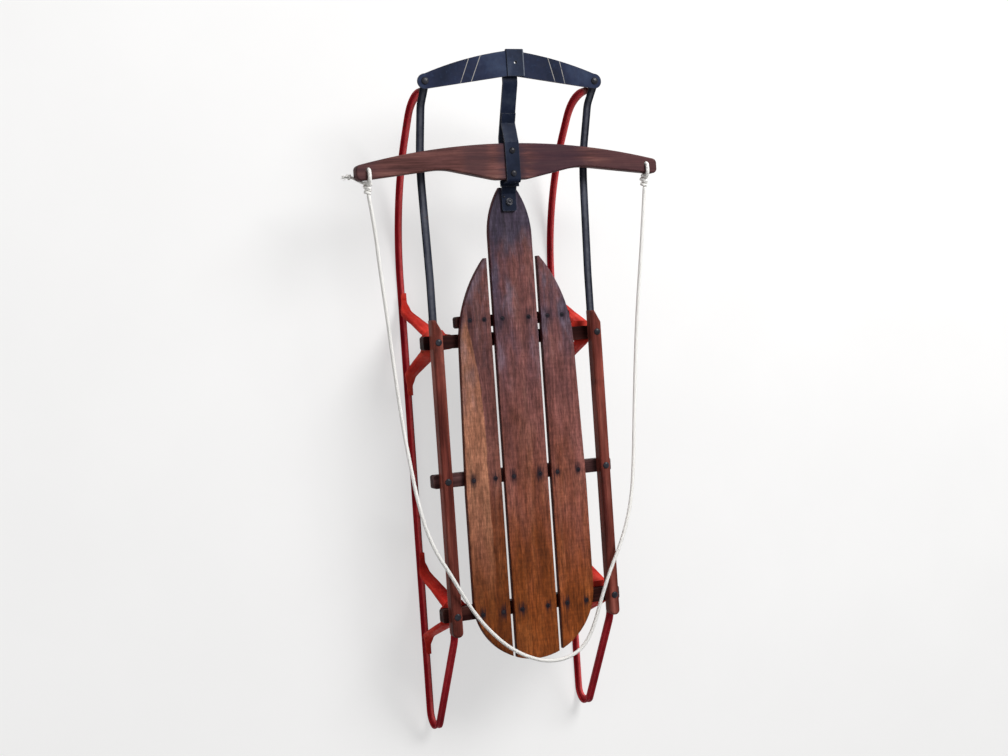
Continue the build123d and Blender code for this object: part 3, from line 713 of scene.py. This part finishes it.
# dark oak with its tones pushed near black as painted shade on the front and rear benches; the middle bench takes
# the same oak lighter
benchWoodShaded = boardFinish("benchOakShaded", ((0.011, 0.003, 0.003), (0.030, 0.008, 0.007), (0.080, 0.028, 0.022)), 5.0,
                        (0.3, 0.6), (0.10, 0.07, 0.05), 0.4, across=True)
middleTones = ((0.022, 0.010, 0.010), (0.060, 0.026, 0.026), (0.130, 0.065, 0.062))
middleWood = boardFinish("middleBenchOak", middleTones, 5.5, (0.3, 0.6), (0.20, 0.13, 0.11), 0.4, across=True)
barDarkBands = (
    # place across the sled, reach, tone, share
    # the band at 0 is painted shade beside the lever; the others darken the bar's tone
    (0, 34, (0.022, 0.020, 0.034), 0.62), (-80, 75, (0.038, 0.020, 0.030), 0.72),
    (-215, 95, (0.055, 0.025, 0.030), 0.68), (62, 30, (0.045, 0.026, 0.032), 0.45),
    (255, 38, (0.050, 0.026, 0.032), 0.60),
)
barWood = boardFinish("barPlum", ((0.052, 0.023, 0.024), (0.118, 0.047, 0.043), (0.195, 0.093, 0.078)), 7.0,
                      (0.35, 0.6), (0.24, 0.13, 0.10), 0.6, across=True, darkBands=barDarkBands)


def dress(finish, *nodes):
    # carried-over CAD nodes take a finish
    for node in nodes:
        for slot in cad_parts[node].material_slots:
            slot.link = "OBJECT"
            slot.material = finish


dress(deckFinish("deckWalnutLeft", "left", deckLook, 1.0), "slat_left")
dress(deckFinish("deckWalnutCentre", "center", deckLook, 4.0), "slat_center")
dress(deckFinish("deckWalnutRight", "right", deckLook, 8.0), "slat_right")
dress(railWood, "rail_left", "rail_right")
dress(benchWoodShaded, "bench_front", "bench_rear", "cleat_front")
dress(middleWood, "bench_middle")
dress(barWood, "steering_bar")
print("wood finished")


paintLook = {
    "stops": (0.30, 0.50, 0.72),
    "chips": (0.62, 0.67),
    "chipShare": 0.5,
    "rust": (0.075, 0.028, 0.014),
    "gloss": (0.35, 0.60),
    "sheen": 0.04,
    "edgeReach": 0.0018,
    "stripeWidth": 0.0011,
    "stripeTone": (0.33, 0.31, 0.285),
}


def stripeMask(coords, lines, width):
    # 1 along straight strokes given by two stations each
    mask = None
    for start, end in lines:
        a, b = place(*start, 0), place(*end, 0)
        run = (b - a).normalized()
        off = coords.part("X") * -run.y + coords.part("Y") * run.x - (a.y * run.x - a.x * run.y)
        stroke = off.maths("ABSOLUTE").levels(width * 0.6, width * 0.4)
        mask = stroke if mask is None else mask.maths("MAXIMUM", stroke)
    return mask


def paintFinish(name, tones, bare, seed, edgeShare=0.8, scale=1.0, stripes=(), sweptLightShade=(), tips=(), rubbedSide=(),
                look=paintLook, **changes):
    # old brushed paint: shifts of tone, rubbed edges, chips down to brown steel
    look = dict(look, **changes)
    finish, tree, coords = openFinish(name)
    at = coords.moved((1, 1, 1), (seed * 1.7, seed * 0.9, seed * 2.3))
    broad = at.noise(14.0 * scale, 5.0, 0.6)
    fine = at.noise(120.0 * scale, 6.0, 0.7)
    grit = at.noise(900.0, 3.0, 0.6)
    colour = broad.ramp(look["stops"], tones)
    colour = colour.tinted(fine.levels(0.50, 0.72) * 0.35, tones[-1])
    worn = edgeMask(tree, look["edgeReach"]) * 0.55 + fine * 0.75
    for key, low, high, tone, share in sweptLightShade:
        # paler as painted highlight, darker as painted shade, over part of a swept section
        read = Signal(tree, addNode(tree, "ShaderNodeAttribute", attribute_name=key).outputs["Fac"])
        if key == "across":
            read = read.maths("ABSOLUTE")
        colour = colour.tinted(read.levels(low, high) * share * fine.levels(0.30, 0.60, 0.55, 1.0), tone)
    for low, high, tone in tips:
        # brown where the paint is gone above a height
        tall = coords.part("Z") + (fine - 0.5) * 0.02
        colour = colour.tinted(tall.levels(low, high) * 0.85, tone)
    if stripes:
        line = stripeMask(coords, stripes, look["stripeWidth"]) * fine.levels(0.36, 0.52, 0.25, 0.9)
        colour = colour.tinted(line, look["stripeTone"])
    for low, high, tone in rubbedSide:
        # bright where something slid along one side
        aside = coords.part("Y") + (fine - 0.5) * 0.002
        colour = colour.tinted(aside.levels(high, low) * 0.8, tone)
    colour = colour.tinted(worn.levels(0.62, 0.85) * edgeShare, bare)
    spots = (fine * 0.55 + broad * 0.5).levels(*look["chips"])
    colour = colour.tinted(spots * look["chipShare"], look["rust"])
    height = grit * 0.35 + fine * 0.5 - spots * 0.4
    closeFinish(tree, colour, fine.levels(0.3, 0.7, *look["gloss"]), height, 0.3, 0.0005, look["sheen"])
    return finish


# painted highlight along the top of the web, painted shade low on the web and in the corner above the foot
runnerHighlightAndShade = (
    # attribute, from, to, tone, share
    ("rise", 10.5, 12.0, (0.66, 0.120, 0.120), 0.70), ("rise", 7.5, 5.0, (0.200, 0.006, 0.013), 0.65),
)
runnerPaint = paintFinish("runnerRed", ((0.18, 0.006, 0.011), (0.46, 0.016, 0.026), (0.62, 0.060, 0.062)),
                          (0.10, 0.030, 0.022), 1.0, edgeShare=0.6, sweptLightShade=runnerHighlightAndShade,
                          tips=[(0.172, 0.186, (0.085, 0.030, 0.026))])
kneePaint = paintFinish("kneeVermilion", ((0.27, 0.009, 0.008), (0.54, 0.032, 0.022), (0.68, 0.085, 0.060)),
                        (0.14, 0.03, 0.02), 3.0, edgeShare=0.35, sheen=0.012)
navyRust = (0.050, 0.026, 0.018)
navyBare = (0.120, 0.115, 0.120)
strapPaint = paintFinish("strapNavy", ((0.003, 0.005, 0.011), (0.009, 0.013, 0.028), (0.034, 0.044, 0.068)),
                         navyBare, 5.0, edgeShare=0.7, rust=navyRust)
# painted highlight along the middle of the rounded strap, painted shade along its rounded sides
springHighlightAndShade = (
    ("across", 3.4, 1.2, (0.115, 0.118, 0.140), 0.58), ("across", 4.6, 6.0, (0.005, 0.006, 0.009), 0.95),
)
springPaint = paintFinish("springNavy", ((0.008, 0.009, 0.014), (0.018, 0.020, 0.032), (0.055, 0.060, 0.080)),
                          navyBare, 6.0, edgeShare=0.5, rust=navyRust, sweptLightShade=springHighlightAndShade)
pinstripes = (
    ((440.5, 72.2), (409.1, 85.5)), ((444.5, 52.4), (409.9, 67.7)),
    ((443.6, -66.1), (409.2, -75.1)), ((438.9, -86.1), (405.9, -92.6)),
)
bumperPaint = paintFinish("bumperNavy", ((0.005, 0.008, 0.020), (0.013, 0.018, 0.043), (0.038, 0.055, 0.100)),
                          (0.060, 0.050, 0.048), 7.0, rust=(0.040, 0.022, 0.018), stripes=pinstripes)
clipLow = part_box("bumper_clip")[0].y
clipPaint = paintFinish("clipNavy", ((0.006, 0.008, 0.017), (0.016, 0.023, 0.046), (0.056, 0.072, 0.110)),
                        (0.090, 0.095, 0.110), 12.0, edgeShare=0.85, rust=navyRust,
                        rubbedSide=[(clipLow + 0.0008, clipLow + 0.0022, (0.150, 0.165, 0.200))])
boltSteel = paintFinish("boltSteel", ((0.003, 0.003, 0.005), (0.009, 0.009, 0.014), (0.034, 0.036, 0.048)),
                        (0.14, 0.14, 0.15), 9.0, scale=3.0, gloss=(0.20, 0.36), rust=(0.060, 0.030, 0.020),
                        sheen=0.16)
nailIron = paintFinish("nailIron", ((0.004, 0.004, 0.006), (0.010, 0.009, 0.012), (0.030, 0.028, 0.034)),
                       (0.060, 0.055, 0.060), 10.0, scale=4.0, gloss=(0.40, 0.65), rust=(0.030, 0.014, 0.010))


def geo(tree, kind, values, **settings):
    return addNode(tree, f"GeometryNode{kind}", values, **settings).outputs[0]


def openTree(name, inputs, output):
    tree = bpy.data.node_groups.new(name, "GeometryNodeTree")
    for label, kind in inputs.items():
        tree.interface.new_socket(label, in_out="INPUT", socket_type=f"NodeSocket{kind}")
    tree.interface.new_socket(output, in_out="OUTPUT", socket_type="NodeSocketGeometry")
    return tree, addNode(tree, "NodeGroupInput").outputs


def closeTree(tree, shape, finish, output):
    shape = geo(tree, "RealizeInstances", {"Geometry": shape})
    shape = geo(tree, "SetMaterial", {"Geometry": shape, "Material": finish})
    addNode(tree, "NodeGroupOutput", {output: shape})
    return tree


def applyTree(tree, holder, name, values):
    # what the tree makes of an object, as a plain object
    modifier = holder.modifiers.new(tree.name, "NODES")
    modifier.node_group = tree
    for item in tree.interface.items_tree:
        if item.in_out == "INPUT" and item.name in values:
            modifier[item.identifier] = values[item.name]
    return plainMesh(holder, name)


def bentBarTree():
    # sweeps a flat section along a path, with an arc at each corner
    inputs = {"Path": "Geometry", "Section": "Object", "Section Round": "Float", "Step": "Float",
              "Finish": "Material"}
    tree, start = openTree("bentBar", inputs, "Bar")
    bend = geo(tree, "InputNamedAttribute", {"Name": "bend"}, data_type="FLOAT")
    line = geo(tree, "MeshToCurve", {"Mesh": start["Path"]})
    line = geo(tree, "FilletCurve", {"Curve": line, "Count": 40, "Radius": bend}, mode="POLY")
    line = geo(tree, "ResampleCurve", {"Curve": line, "Length": start["Step"]}, mode="LENGTH")
    line = geo(tree, "SetCurveNormal", {"Curve": line, "Normal": (0, 1, 0)}, mode="FREE")
    shape = addNode(tree, "GeometryNodeObjectInfo", {"Object": start["Section"]}).outputs["Geometry"]
    shape = geo(tree, "MeshToCurve", {"Mesh": shape})
    rounds = {"Curve": shape, "Count": 3, "Radius": start["Section Round"], "Limit Radius": True}
    shape = geo(tree, "FilletCurve", rounds, mode="POLY")
    bar = geo(tree, "CurveToMesh", {"Curve": line, "Profile Curve": shape, "Fill Caps": True})
    return closeTree(tree, bar, start["Finish"], "Bar")


def lineObject(name, points, bends=None, closed=False):
    edges = [(i, i + 1) for i in range(len(points) - 1)]
    if closed:
        edges.append((len(points) - 1, 0))
    mesh = newMesh(name, points, edges, [])
    if bends:
        layer = mesh.attributes.new("bend", "FLOAT", "POINT")
        for item, radius in zip(layer.data, [0.0] + list(bends) + [0.0]):
            item.value = radius / 1000
    return addObject(name, mesh)


barTree = bentBarTree()


def markSection(mesh, first):
    # each vertex keeps its place in the section: across the path and up from the section's foot
    ring = max(len(face.vertices) for face in mesh.polygons)
    marks = [(vertex.co - first) * 1000 for vertex in list(mesh.vertices)[:ring]]
    count = len(mesh.vertices)
    across = [mark.y for mark in marks]
    rise = [math.hypot(mark.x, mark.z) for mark in marks]
    for name, values in (("across", across), ("rise", rise)):
        mesh.attributes.new(name, "FLOAT", "POINT")
        mesh.attributes[name].data.foreach_set("value", [values[index % ring] for index in range(count)])


def bentBar(name, path, bends, section, cornerRound, step, finish):
    shape = lineObject(f"{name}Section", [(x / 1000, y / 1000, 0) for x, y in section], closed=True)
    bar = lineObject(name, [place(*point) for point in path], bends)
    made = applyTree(barTree, bar, name, {
        "Section": shape, "Section Round": cornerRound / 1000, "Step": step / 1000, "Finish": finish,
    })
    bpy.data.objects.remove(shape)
    markSection(made.data, place(*path[0]))
    facesOut(made.data)
    softShade(made)
    return made


def outward(look, mirror, x):
    # both sides spread apart ahead of the line that they flex about
    return mirror * (look["y"] + max(x - look["flexX"], 0) * math.tan(math.radians(look["splay"])))


runnerLook = {
    "footHalf": 6.2,
    "footThick": 3.3,
    "webHalf": 2.0,
    "depth": 12.4,
    "grooveHalf": 3.0,
    "grooveDeep": 1.1,
    "round": 0.7,
    "tailX": -651.0,
    "tailRadius": 26.0,
    "tailAngle": 33.0,
    "tailBend": 60.0,
    "tabTop": 153.0,
    "tabEnd": -451.5,
    "flexX": 100.0,
    "splay": 0.5,
    "riseStart": 100.2,
    "riseCorner": 234.5,
    "riseRadius": 390.0,
    "curlCorner": 403.0,
    "curlRadius": 90.0,
    "curlLean": 2.0,
    "tipTop": 190.5,
    "tipTaper": 34.0,
    "tipThin": 0.3,
    "tipLean": 0.03,
    "tipReach": 30.0,
    "y": 140.0,
}


def makeRunner(name, look, mirror):
    half, thick, web, depth = look["footHalf"], look["footThick"], look["webHalf"], look["depth"]
    section = [
        (-half, 0), (-look["grooveHalf"], 0), (0, look["grooveDeep"]), (look["grooveHalf"], 0), (half, 0),
        (half, thick), (web, thick), (web, depth), (-web, depth), (-web, thick), (-half, thick),
    ]
    reach = look["tailRadius"] * math.tan(math.radians((180 - look["tailAngle"]) / 2))
    cornerX = look["tailX"] + look["tailRadius"] - reach
    topX = cornerX + look["tabTop"] / math.tan(math.radians(look["tailAngle"]))
    rise = 2 * math.atan((look["riseCorner"] - look["riseStart"]) / look["riseRadius"])
    curlZ = (look["curlCorner"] - look["riseCorner"]) * math.tan(rise)
    tipX = look["curlCorner"] - (look["tipTop"] - curlZ) * math.tan(math.radians(look["curlLean"]))
    stations = ((look["tabEnd"], look["tabTop"]), (topX, look["tabTop"]), (cornerX, 0), (look["flexX"], 0),
                (look["riseCorner"], 0), (look["curlCorner"], curlZ), (tipX, look["tipTop"]))
    path = [(x, outward(look, mirror, x), z) for x, z in stations]
    bends = [look["tailBend"], look["tailRadius"], 0.0, look["riseRadius"], look["curlRadius"]]
    made = bentBar(name, path, bends, section, look["round"], 4.0, runnerPaint)
    # the web dies away towards the tip
    tip = place(*path[-1])
    low = tip.z - look["tipTaper"] / 1000
    thick /= 1000
    for vertex in made.data.vertices:
        if vertex.co.z > low and vertex.co.x > tip.x - look["tipReach"] / 1000:
            share = unit((vertex.co.z - low) / (tip.z - low))
            sole = tip.x + (tip.z - vertex.co.z) * look["tipLean"]
            past = sole - vertex.co.x - thick
            if past > 0:
                vertex.co.x = sole - thick - past * (1 - look["tipThin"] * share)
    made.data.update()
    softShade(made)
    return made


strapLook = {
    "half": (6.5, 1.9),
    "round": 1.1,
    "stations": ((-13.0, 151.0), (100.0, 151.0), (285.0, 151.0), (375.0, 180.0), (400.0, 204.7), (418.0, 204.7)),
    "bends": (0.0, 240.0, 30.0, 9.0),
    "flexX": 100.0,
    "splay": 1.209,
    "y": 140.0,
}


def makeStrap(name, look, mirror):
    half, thick = look["half"]
    section = [(-half, -thick), (half, -thick), (half, thick), (-half, thick)]
    path = [(x, outward(look, mirror, x), z) for x, z in look["stations"]]
    made = bentBar(name, path, look["bends"], section, look["round"], 3.0, springPaint)
    # the tab under the bumper is cut round
    tab, middle = place(*path[-1]).xy
    half /= 1000
    for vertex in made.data.vertices:
        behind = tab - vertex.co.x
        if behind < half:
            side = (vertex.co.y - middle) / half
            share = unit(1 - behind / half)
            vertex.co.y = middle + side * half * math.sqrt(max(0.02, 1 - share * share))
    made.data.update()
    return made


for side, mirror in (("left", 1), ("right", -1)):
    runner = makeRunner(f"runner_{side}_tee", runnerLook, mirror)
    strap = makeStrap(f"strap_{side}_spring", strapLook, mirror)
    handOver(runner, "runner_paint", None, f"runner_{side}", f"runner_front_{side}")
    handOver(strap, "strap_paint", None, f"strap_root_{side}", f"side_strap_{side}")
    y = mirror * runnerLook["y"]
    for bar in (runner, strap):
        tuple(place(45, y, 0))
        tuple(place(155, y, 0))
        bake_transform(bar)
print("runners and straps bent")


kneeLook = {
    "stations": {"front": (0.0, 130.0), "rear": (-440.0, 134.0)},
    "y": 140.0,
    "webTop": 12.5,
    "thick": 3.4,
    "footReach": 86.5,
    "legReach": 58.0,
    "topReach": 15.0,
    "footRadius": 24.0,
    "topRadius": 16.0,
    # reach from the bench's middle, inner edge and outer edge from the rail's line
    "fan": ((90.0, 3.2, 3.2), (84.0, 4.5, 4.5), (70.0, 4.6, 4.6), (60.0, 8.2, 7.6), (50.0, 10.6, 12.4),
            (40.0, 13.2, 14.0), (30.0, 15.8, 14.4), (15.0, 19.8, 14.5), (0.0, 19.8, 14.5)),
    # share of the outer edge kept near the top: rear leg, front leg
    "outerTrim": {1: (1.0, 0.66), -1: (0.42, 0.64)},
    # where the trim and the pressing start and end: reach and width of each
    "trimSpan": (0.0, 12.0, 58.0, 22.0),
    "pressSpan": (10.0, 10.0, 66.0, 12.0),
    "rimFrom": 0.78,
    "rimDrop": 2.6,
    "ribHalf": 0.3,
    "ribRise": 1.1,
    "edgeSoft": 0.35,
    "tipRound": 4.0,
    "step": 2.2,
    # the plate under the bench: ahead of its middle, outward from the rail's line
    "plate": ((-14, 8), (-11, 14.5), (11, 14.5), (14, 9), (20, 2), (20, -23), (13, -28), (11.5, -38), (-11.5, -38),
              (-14, -10)),
    "lugX": (61.5, 86.5),
    "lugY": (135.6, 137.9),
    "lugDrop": 8.0,
    "rivetX": 78.0,
    "rivetZ": 15.8,
}


def fanEdges(rows, reach):
    # inner and outer edge at a reach, read between the rows
    for (far, farIn, farOut), (near, nearIn, nearOut) in zip(rows, rows[1:]):
        if reach >= near:
            share = unit((reach - near) / (far - near))
            share = share * share * (3 - 2 * share) * 0.5 + share * 0.5
            return nearIn + (farIn - nearIn) * share, nearOut + (farOut - nearOut) * share
    return rows[-1][1], rows[-1][2]


def roundedPath(points, radii, step):
    # straight runs joined by arcs that touch them, as points along the way
    line = [Vector(points[0])]
    for before, at, after, radius in zip(points, points[1:], points[2:], radii):
        before, at, after = Vector(before), Vector(at), Vector(after)
        into, out = (before - at).normalized(), (after - at).normalized()
        angle = into.angle(out)
        reach = radius / math.tan(angle / 2)
        middle = at + (into + out).normalized() * radius / math.sin(angle / 2)
        first, last = at + into * reach - middle, at + out * reach - middle
        sweep = math.pi - angle
        for i in range(9):
            share = i / 8
            arm = (first * math.sin((1 - share) * sweep) + last * math.sin(share * sweep)) / math.sin(sweep)
            line.append(middle + arm)
    line.append(Vector(points[-1]))
    return evenly(line, step)[0]


def makeKnee(name, look, mirror, x, bottom):
    foot = look["webTop"] + look["thick"] / 2
    top = bottom - look["thick"] / 2
    stations = [(-look["footReach"], foot), (-look["legReach"], foot), (-look["topReach"], top),
                (look["topReach"], top), (look["legReach"], foot), (look["footReach"], foot)]
    radii = [look[key] / 1000 for key in ("footRadius", "topRadius", "topRadius", "footRadius")]
    points = [tuple(place(x + dx, mirror * look["y"], z)) for dx, z in stations]
    path = roundedPath(points, radii, look["step"] / 1000)
    verts = []
    across = 16
    centre = place(x, 0, 0).x
    for i, spot in enumerate(path):
        ahead = (path[min(i + 1, len(path) - 1)] - path[max(i - 1, 0)]).normalized()
        out = Vector((-ahead.z, 0, ahead.x))
        away = abs(spot.x - centre) * 1000
        inner, outer = fanEdges(look["fan"], away)
        trim = look["outerTrim"][mirror][spot.x > centre]
        outer *= 1 - (1 - trim) * fades(away, *look["trimSpan"])
        tip = look["footReach"] - away
        rounding = math.sqrt(max(0.2, 1 - unit(1 - tip / look["tipRound"]) ** 2))
        leg = fades(away, *look["pressSpan"])
        thick = look["thick"] / 2
        top, under = [], []
        for j in range(across + 1):
            # rims pressed down, a shallow rib along the middle
            w = -1 + 2 * j / across
            rim = look["rimDrop"] * leg * unit((abs(w) - look["rimFrom"]) / (1 - look["rimFrom"])) ** 1.6
            rib = look["ribRise"] * leg * math.exp(-(w / look["ribHalf"]) ** 2)
            y = (w + 1) / 2 * (inner + outer) * rounding - inner * rounding
            top.append((y, thick - look["edgeSoft"] * w ** 8 - rim + rib))
            under.append((y, -thick - rim + rib))
        for y, lift in top + list(reversed(under)):
            verts.append(spot + Vector((0, mirror * y / 1000, 0)) + out * (lift / 1000))
    faces = ringFaces(2 * (across + 1), len(path), flip=True)
    return linkMesh(name, verts, faces, kneePaint)


def roundedPlate(name, corners, low, high, radius, finish, steps=5):
    # flat plate with rounded corners and softened rims
    outline = []
    count = len(corners)
    for index in range(count):
        before, at, after = (Vector(corners[(index + shift) % count]) for shift in (-1, 0, 1))
        into, out = (before - at).normalized(), (after - at).normalized()
        angle = into.angle(out)
        reach = min(radius / math.tan(angle / 2), (before - at).length * 0.49, (after - at).length * 0.49)
        for i in range(steps + 1):
            share = i / steps
            a, b = at + into * reach * (1 - share), at + out * reach * share
            outline.append(a.lerp(b, share))
    middle = sum(outline, Vector((0, 0))) / len(outline)
    rim = 0.5
    verts = []
    for z, pull in ((low, rim), (low + rim, 0.0), (high - rim, 0.0), (high, rim)):
        for spot in outline:
            inward = (middle - spot).normalized() * pull
            verts.append(place(spot.x + inward.x, spot.y + inward.y, z))
    return linkMesh(name, verts, ringFaces(len(outline), 4), finish)


def makeKneeSet(look, where, side, mirror):
    x, bottom = look["stations"][where]
    name = f"knee_{where}_{side}_pressed"
    pieces = [makeKnee(f"{name}Arch", look, mirror, x, bottom)]
    corners = [(x + ahead, mirror * (look["y"] + out)) for ahead, out in look["plate"]]
    pieces.append(roundedPlate(f"{name}Plate", corners, bottom - look["thick"], bottom - 0.05, 3.0, kneePaint))
    low, high = look["webTop"] - look["lugDrop"], look["webTop"] + look["thick"]
    inner, outer = sorted(mirror * y for y in look["lugY"])
    for end in (-1, 1):
        x0, x1 = sorted(x + end * reach for reach in look["lugX"])
        corners = [(x0, inner), (x1, inner), (x1, outer), (x0, outer)]
        pieces.append(roundedPlate(f"{name}Lug{end}", corners, low, high, 0.6, kneePaint, 2))
    handOver(joinSteel(name, pieces), "knee_paint", "frame", f"knee_{where}_{side}")


for where in ("front", "rear"):
    for side, mirror in (("left", 1), ("right", -1)):
        makeKneeSet(kneeLook, where, side, mirror)
print("knees pressed")


def spreadTree():
    # puts a bolt, nut, rivet or nail on each point, turned at random
    inputs = {"Points": "Geometry", "Part": "Object", "Turn": "Float", "Seed": "Int", "Finish": "Material"}
    tree, start = openTree("spreadPart", inputs, "Parts")
    part = addNode(tree, "GeometryNodeObjectInfo", {"Object": start["Part"]}).outputs["Geometry"]
    limits = {"Max": start["Turn"], "Seed": start["Seed"]}
    turn = addNode(tree, "FunctionNodeRandomValue", limits, data_type="FLOAT")
    value = next(s for s in turn.outputs if s.enabled)
    spin = addNode(tree, "ShaderNodeCombineXYZ", {"Z": value}).outputs[0]
    parts = geo(tree, "InstanceOnPoints", {"Points": start["Points"], "Instance": part, "Rotation": spin})
    return closeTree(tree, parts, start["Finish"], "Parts")


partTree = spreadTree()


def spread(name, spots, part, finish, turn=math.pi, seed=3):
    # the part on every spot; the part itself is used up
    holder = addObject(name, newMesh(name, [place(*spot) for spot in spots], [], []))
    made = applyTree(partTree, holder, name, {"Part": part, "Turn": turn, "Seed": seed, "Finish": finish})
    softShade(made, 35)
    bpy.data.objects.remove(part)
    return made


def turned(name, outline, sides=28):
    # a part turned about Z from (radius, height) pairs in millimetres, bottom to top
    verts = []
    for radius, z in outline:
        for i in range(sides):
            angle = 2 * math.pi * i / sides
            verts.append((radius * math.cos(angle) / 1000, radius * math.sin(angle) / 1000, z / 1000))
    return linkMesh(name, verts, ringFaces(sides, len(outline)), boltSteel)


def domedHead(radius, height, rim=0.6):
    crown = radius * 0.985
    outline = [(radius * 0.96, -0.02), (radius, rim * 0.5), (crown, rim)]
    for i in range(1, 8):
        angle = i / 8 * math.pi / 2
        outline.append((crown * math.cos(angle), rim + (height - rim) * math.sin(angle)))
    outline.append((0.15, height))
    return outline


def hexNut(name, radius, height, bore):
    # reach, share of the height
    rings = ((radius * 0.93, 0.0), (radius, 0.12), (radius, 0.88), (radius * 0.93, 1.0), (bore + 0.5, 1.0),
             (bore, 0.9))
    count = 36
    side = math.pi / 3    # the angle that one of the six flats takes up
    verts = []
    for reach, share in rings:
        for i in range(count):
            angle = 2 * math.pi * i / count
            edge = radius * math.cos(side / 2) / math.cos(angle % side - side / 2)
            use = min(edge, reach) if reach > bore + 1 else reach
            verts.append((use * math.cos(angle) / 1000, use * math.sin(angle) / 1000, height * share / 1000))
    return linkMesh(name, verts, ringFaces(count, len(rings)), boltSteel, smooth=False)


def threadEnd(radius, length):
    outline = [(radius * 0.8, 0.0), (radius, 0.25)]
    turns = max(1, int(length / 0.9))
    for i in range(turns):
        z = 0.3 + (length - 0.4) * i / turns
        outline += [(radius, z), (radius * 0.86, z + 0.4)]
    outline.append((radius, length))
    return outline


nutRadius = 5.6

boltLook = {
    # piece: node, body, rows of bolts
    "rail_bolts_set": ("rail_bolts", "frame", (
        # spots, head base, head radius, head height, nut top, nut height, thread end, shank radius
        ([(0, 140), (0, -140)], 172.0, 5.5, 2.5, 126.5, 4.4, 121.1, 3.2),
        ([(-223, 140), (-223, -140)], 172.0, 5.5, 2.5, 134.0, 4.4, 128.6, 3.2),
        ([(-440, 140), (-440, -140)], 172.0, 5.5, 2.5, 130.5, 4.4, 125.1, 3.2),
    )),
    "bumper_bolts_set": ("bumper_bolts", "bumper", (
        ([(408, 146.5), (408, -146.5)], 210.5, 5.9, 2.9, 202.4, 4.4, 197.0, 3.0),
    )),
    "lever_bolts_set": ("lever_bolts", "steering", (
        ([(299.5, 0), (263, 0)], 194.0, 5.2, 2.9, 168.0, 2.5, 165.5, 3.0),
    )),
}


def makeBolts(name, node, body, rows):
    pieces = []
    for number, row in enumerate(rows):
        spots, base, headRadius, headHeight, nutTop, nutHeight, end, shank = row
        head = turned(f"{name}Head", domedHead(headRadius, headHeight))
        nut = hexNut(f"{name}Nut", nutRadius, nutHeight, shank)
        stem = turned(f"{name}Stem", threadEnd(shank, nutTop - end), 20)
        rod = turned(f"{name}Rod", [(shank - 0.05, 0.0), (shank - 0.05, base - nutTop)], 16)
        heights = (base, nutTop - nutHeight, end, nutTop)
        for tag, part, z in zip("abcd", (head, nut, stem, rod), heights):
            places = [(*spot, z) for spot in spots]
            pieces.append(spread(f"{name}_{number}{tag}", places, part, boltSteel, seed=number + 1))
    handOver(joinSteel(name, pieces), "dark_steel", body, node)


for name, (node, body, rows) in boltLook.items():
    makeBolts(name, node, body, rows)

pivotLook = {
    "x": 220.0,
    "washer": 167.1,
    "washerOutline": ((5.8, 0.0), (6.0, 0.2), (6.0, 0.7), (5.8, 0.9)),
    "tipOutline": ((2.6, 0.0), (2.6, 1.2), (1.9, 1.6)),
    "nut": (5.3, 2.6, 2.6),
    "underNut": (nutRadius, 4.4, 3.0),
    "slatUnder": 153.0,
    "stemEnd": 147.5,
    "keeper": (228.5, 8.5),
}


def makePivot(look):
    seat, under = look["washer"], look["slatUnder"]
    parts = (
        (turned("pivotWasher", look["washerOutline"]), seat - 0.2),
        (hexNut("pivotNut", *look["nut"]), seat + 0.6),
        (turned("pivotTip", look["tipOutline"]), seat + 2.6),
        (hexNut("pivotUnderNut", *look["underNut"]), under - look["underNut"][1]),
        (turned("pivotStem", threadEnd(3.0, 5.6), 20), look["stemEnd"]),
        (turned("pivotRod", [(2.95, 0.0), (2.95, 14.0)], 16), under),
    )
    pieces = [spread(f"pivot_{number}", [(look["x"], 0, z)], part, boltSteel, 0.0)
              for number, (part, z) in enumerate(parts)]
    handOver(joinSteel("pivot_bolt_set", pieces), "dark_steel", "frame", "pivot_bolt")


makePivot(pivotLook)


def smallParts(name, spots, shape, finish, slot, body):
    made = spread(name, spots, shape, finish)
    facesOut(made.data)
    handOver(made, slot, body)


nailOutline = ((2.5, -0.4), (2.5, 0.05), (2.1, 0.3), (1.2, 0.42), (0.1, 0.45))
nailSpots = [(*spot, deckTop * 1000) for row in nailStations.values() for spot in row]
smallParts("deck_nails", nailSpots, turned("nailShape", nailOutline, 14), nailIron, "dark_steel", "frame")

keeperSpots = [(*pivotLook["keeper"], pivotLook["washer"] - 0.25)]
keeperShape = turned("keeperShape", domedHead(1.9, 1.5, 0.3), 16)
smallParts("pivot_keeper", keeperSpots, keeperShape, boltSteel, "dark_steel", "steering")

rivetSpots = [(x + end * kneeLook["rivetX"], mirror * kneeLook["y"], kneeLook["rivetZ"])
              for x, bottom in kneeLook["stations"].values() for end in (-1, 1) for mirror in (1, -1)]
rivetShape = turned("rivetShape", domedHead(3.0, 1.5, 0.3), 18)
smallParts("knee_rivets", rivetSpots, rivetShape, kneePaint, "knee_paint", "frame")
print("bolts, nails and rivets set")

dress(strapPaint, "lever_strap", "lever_hood")
dress(clipPaint, "bumper_clip")
dress(bumperPaint, "bumper_bar")
print("steel finished")
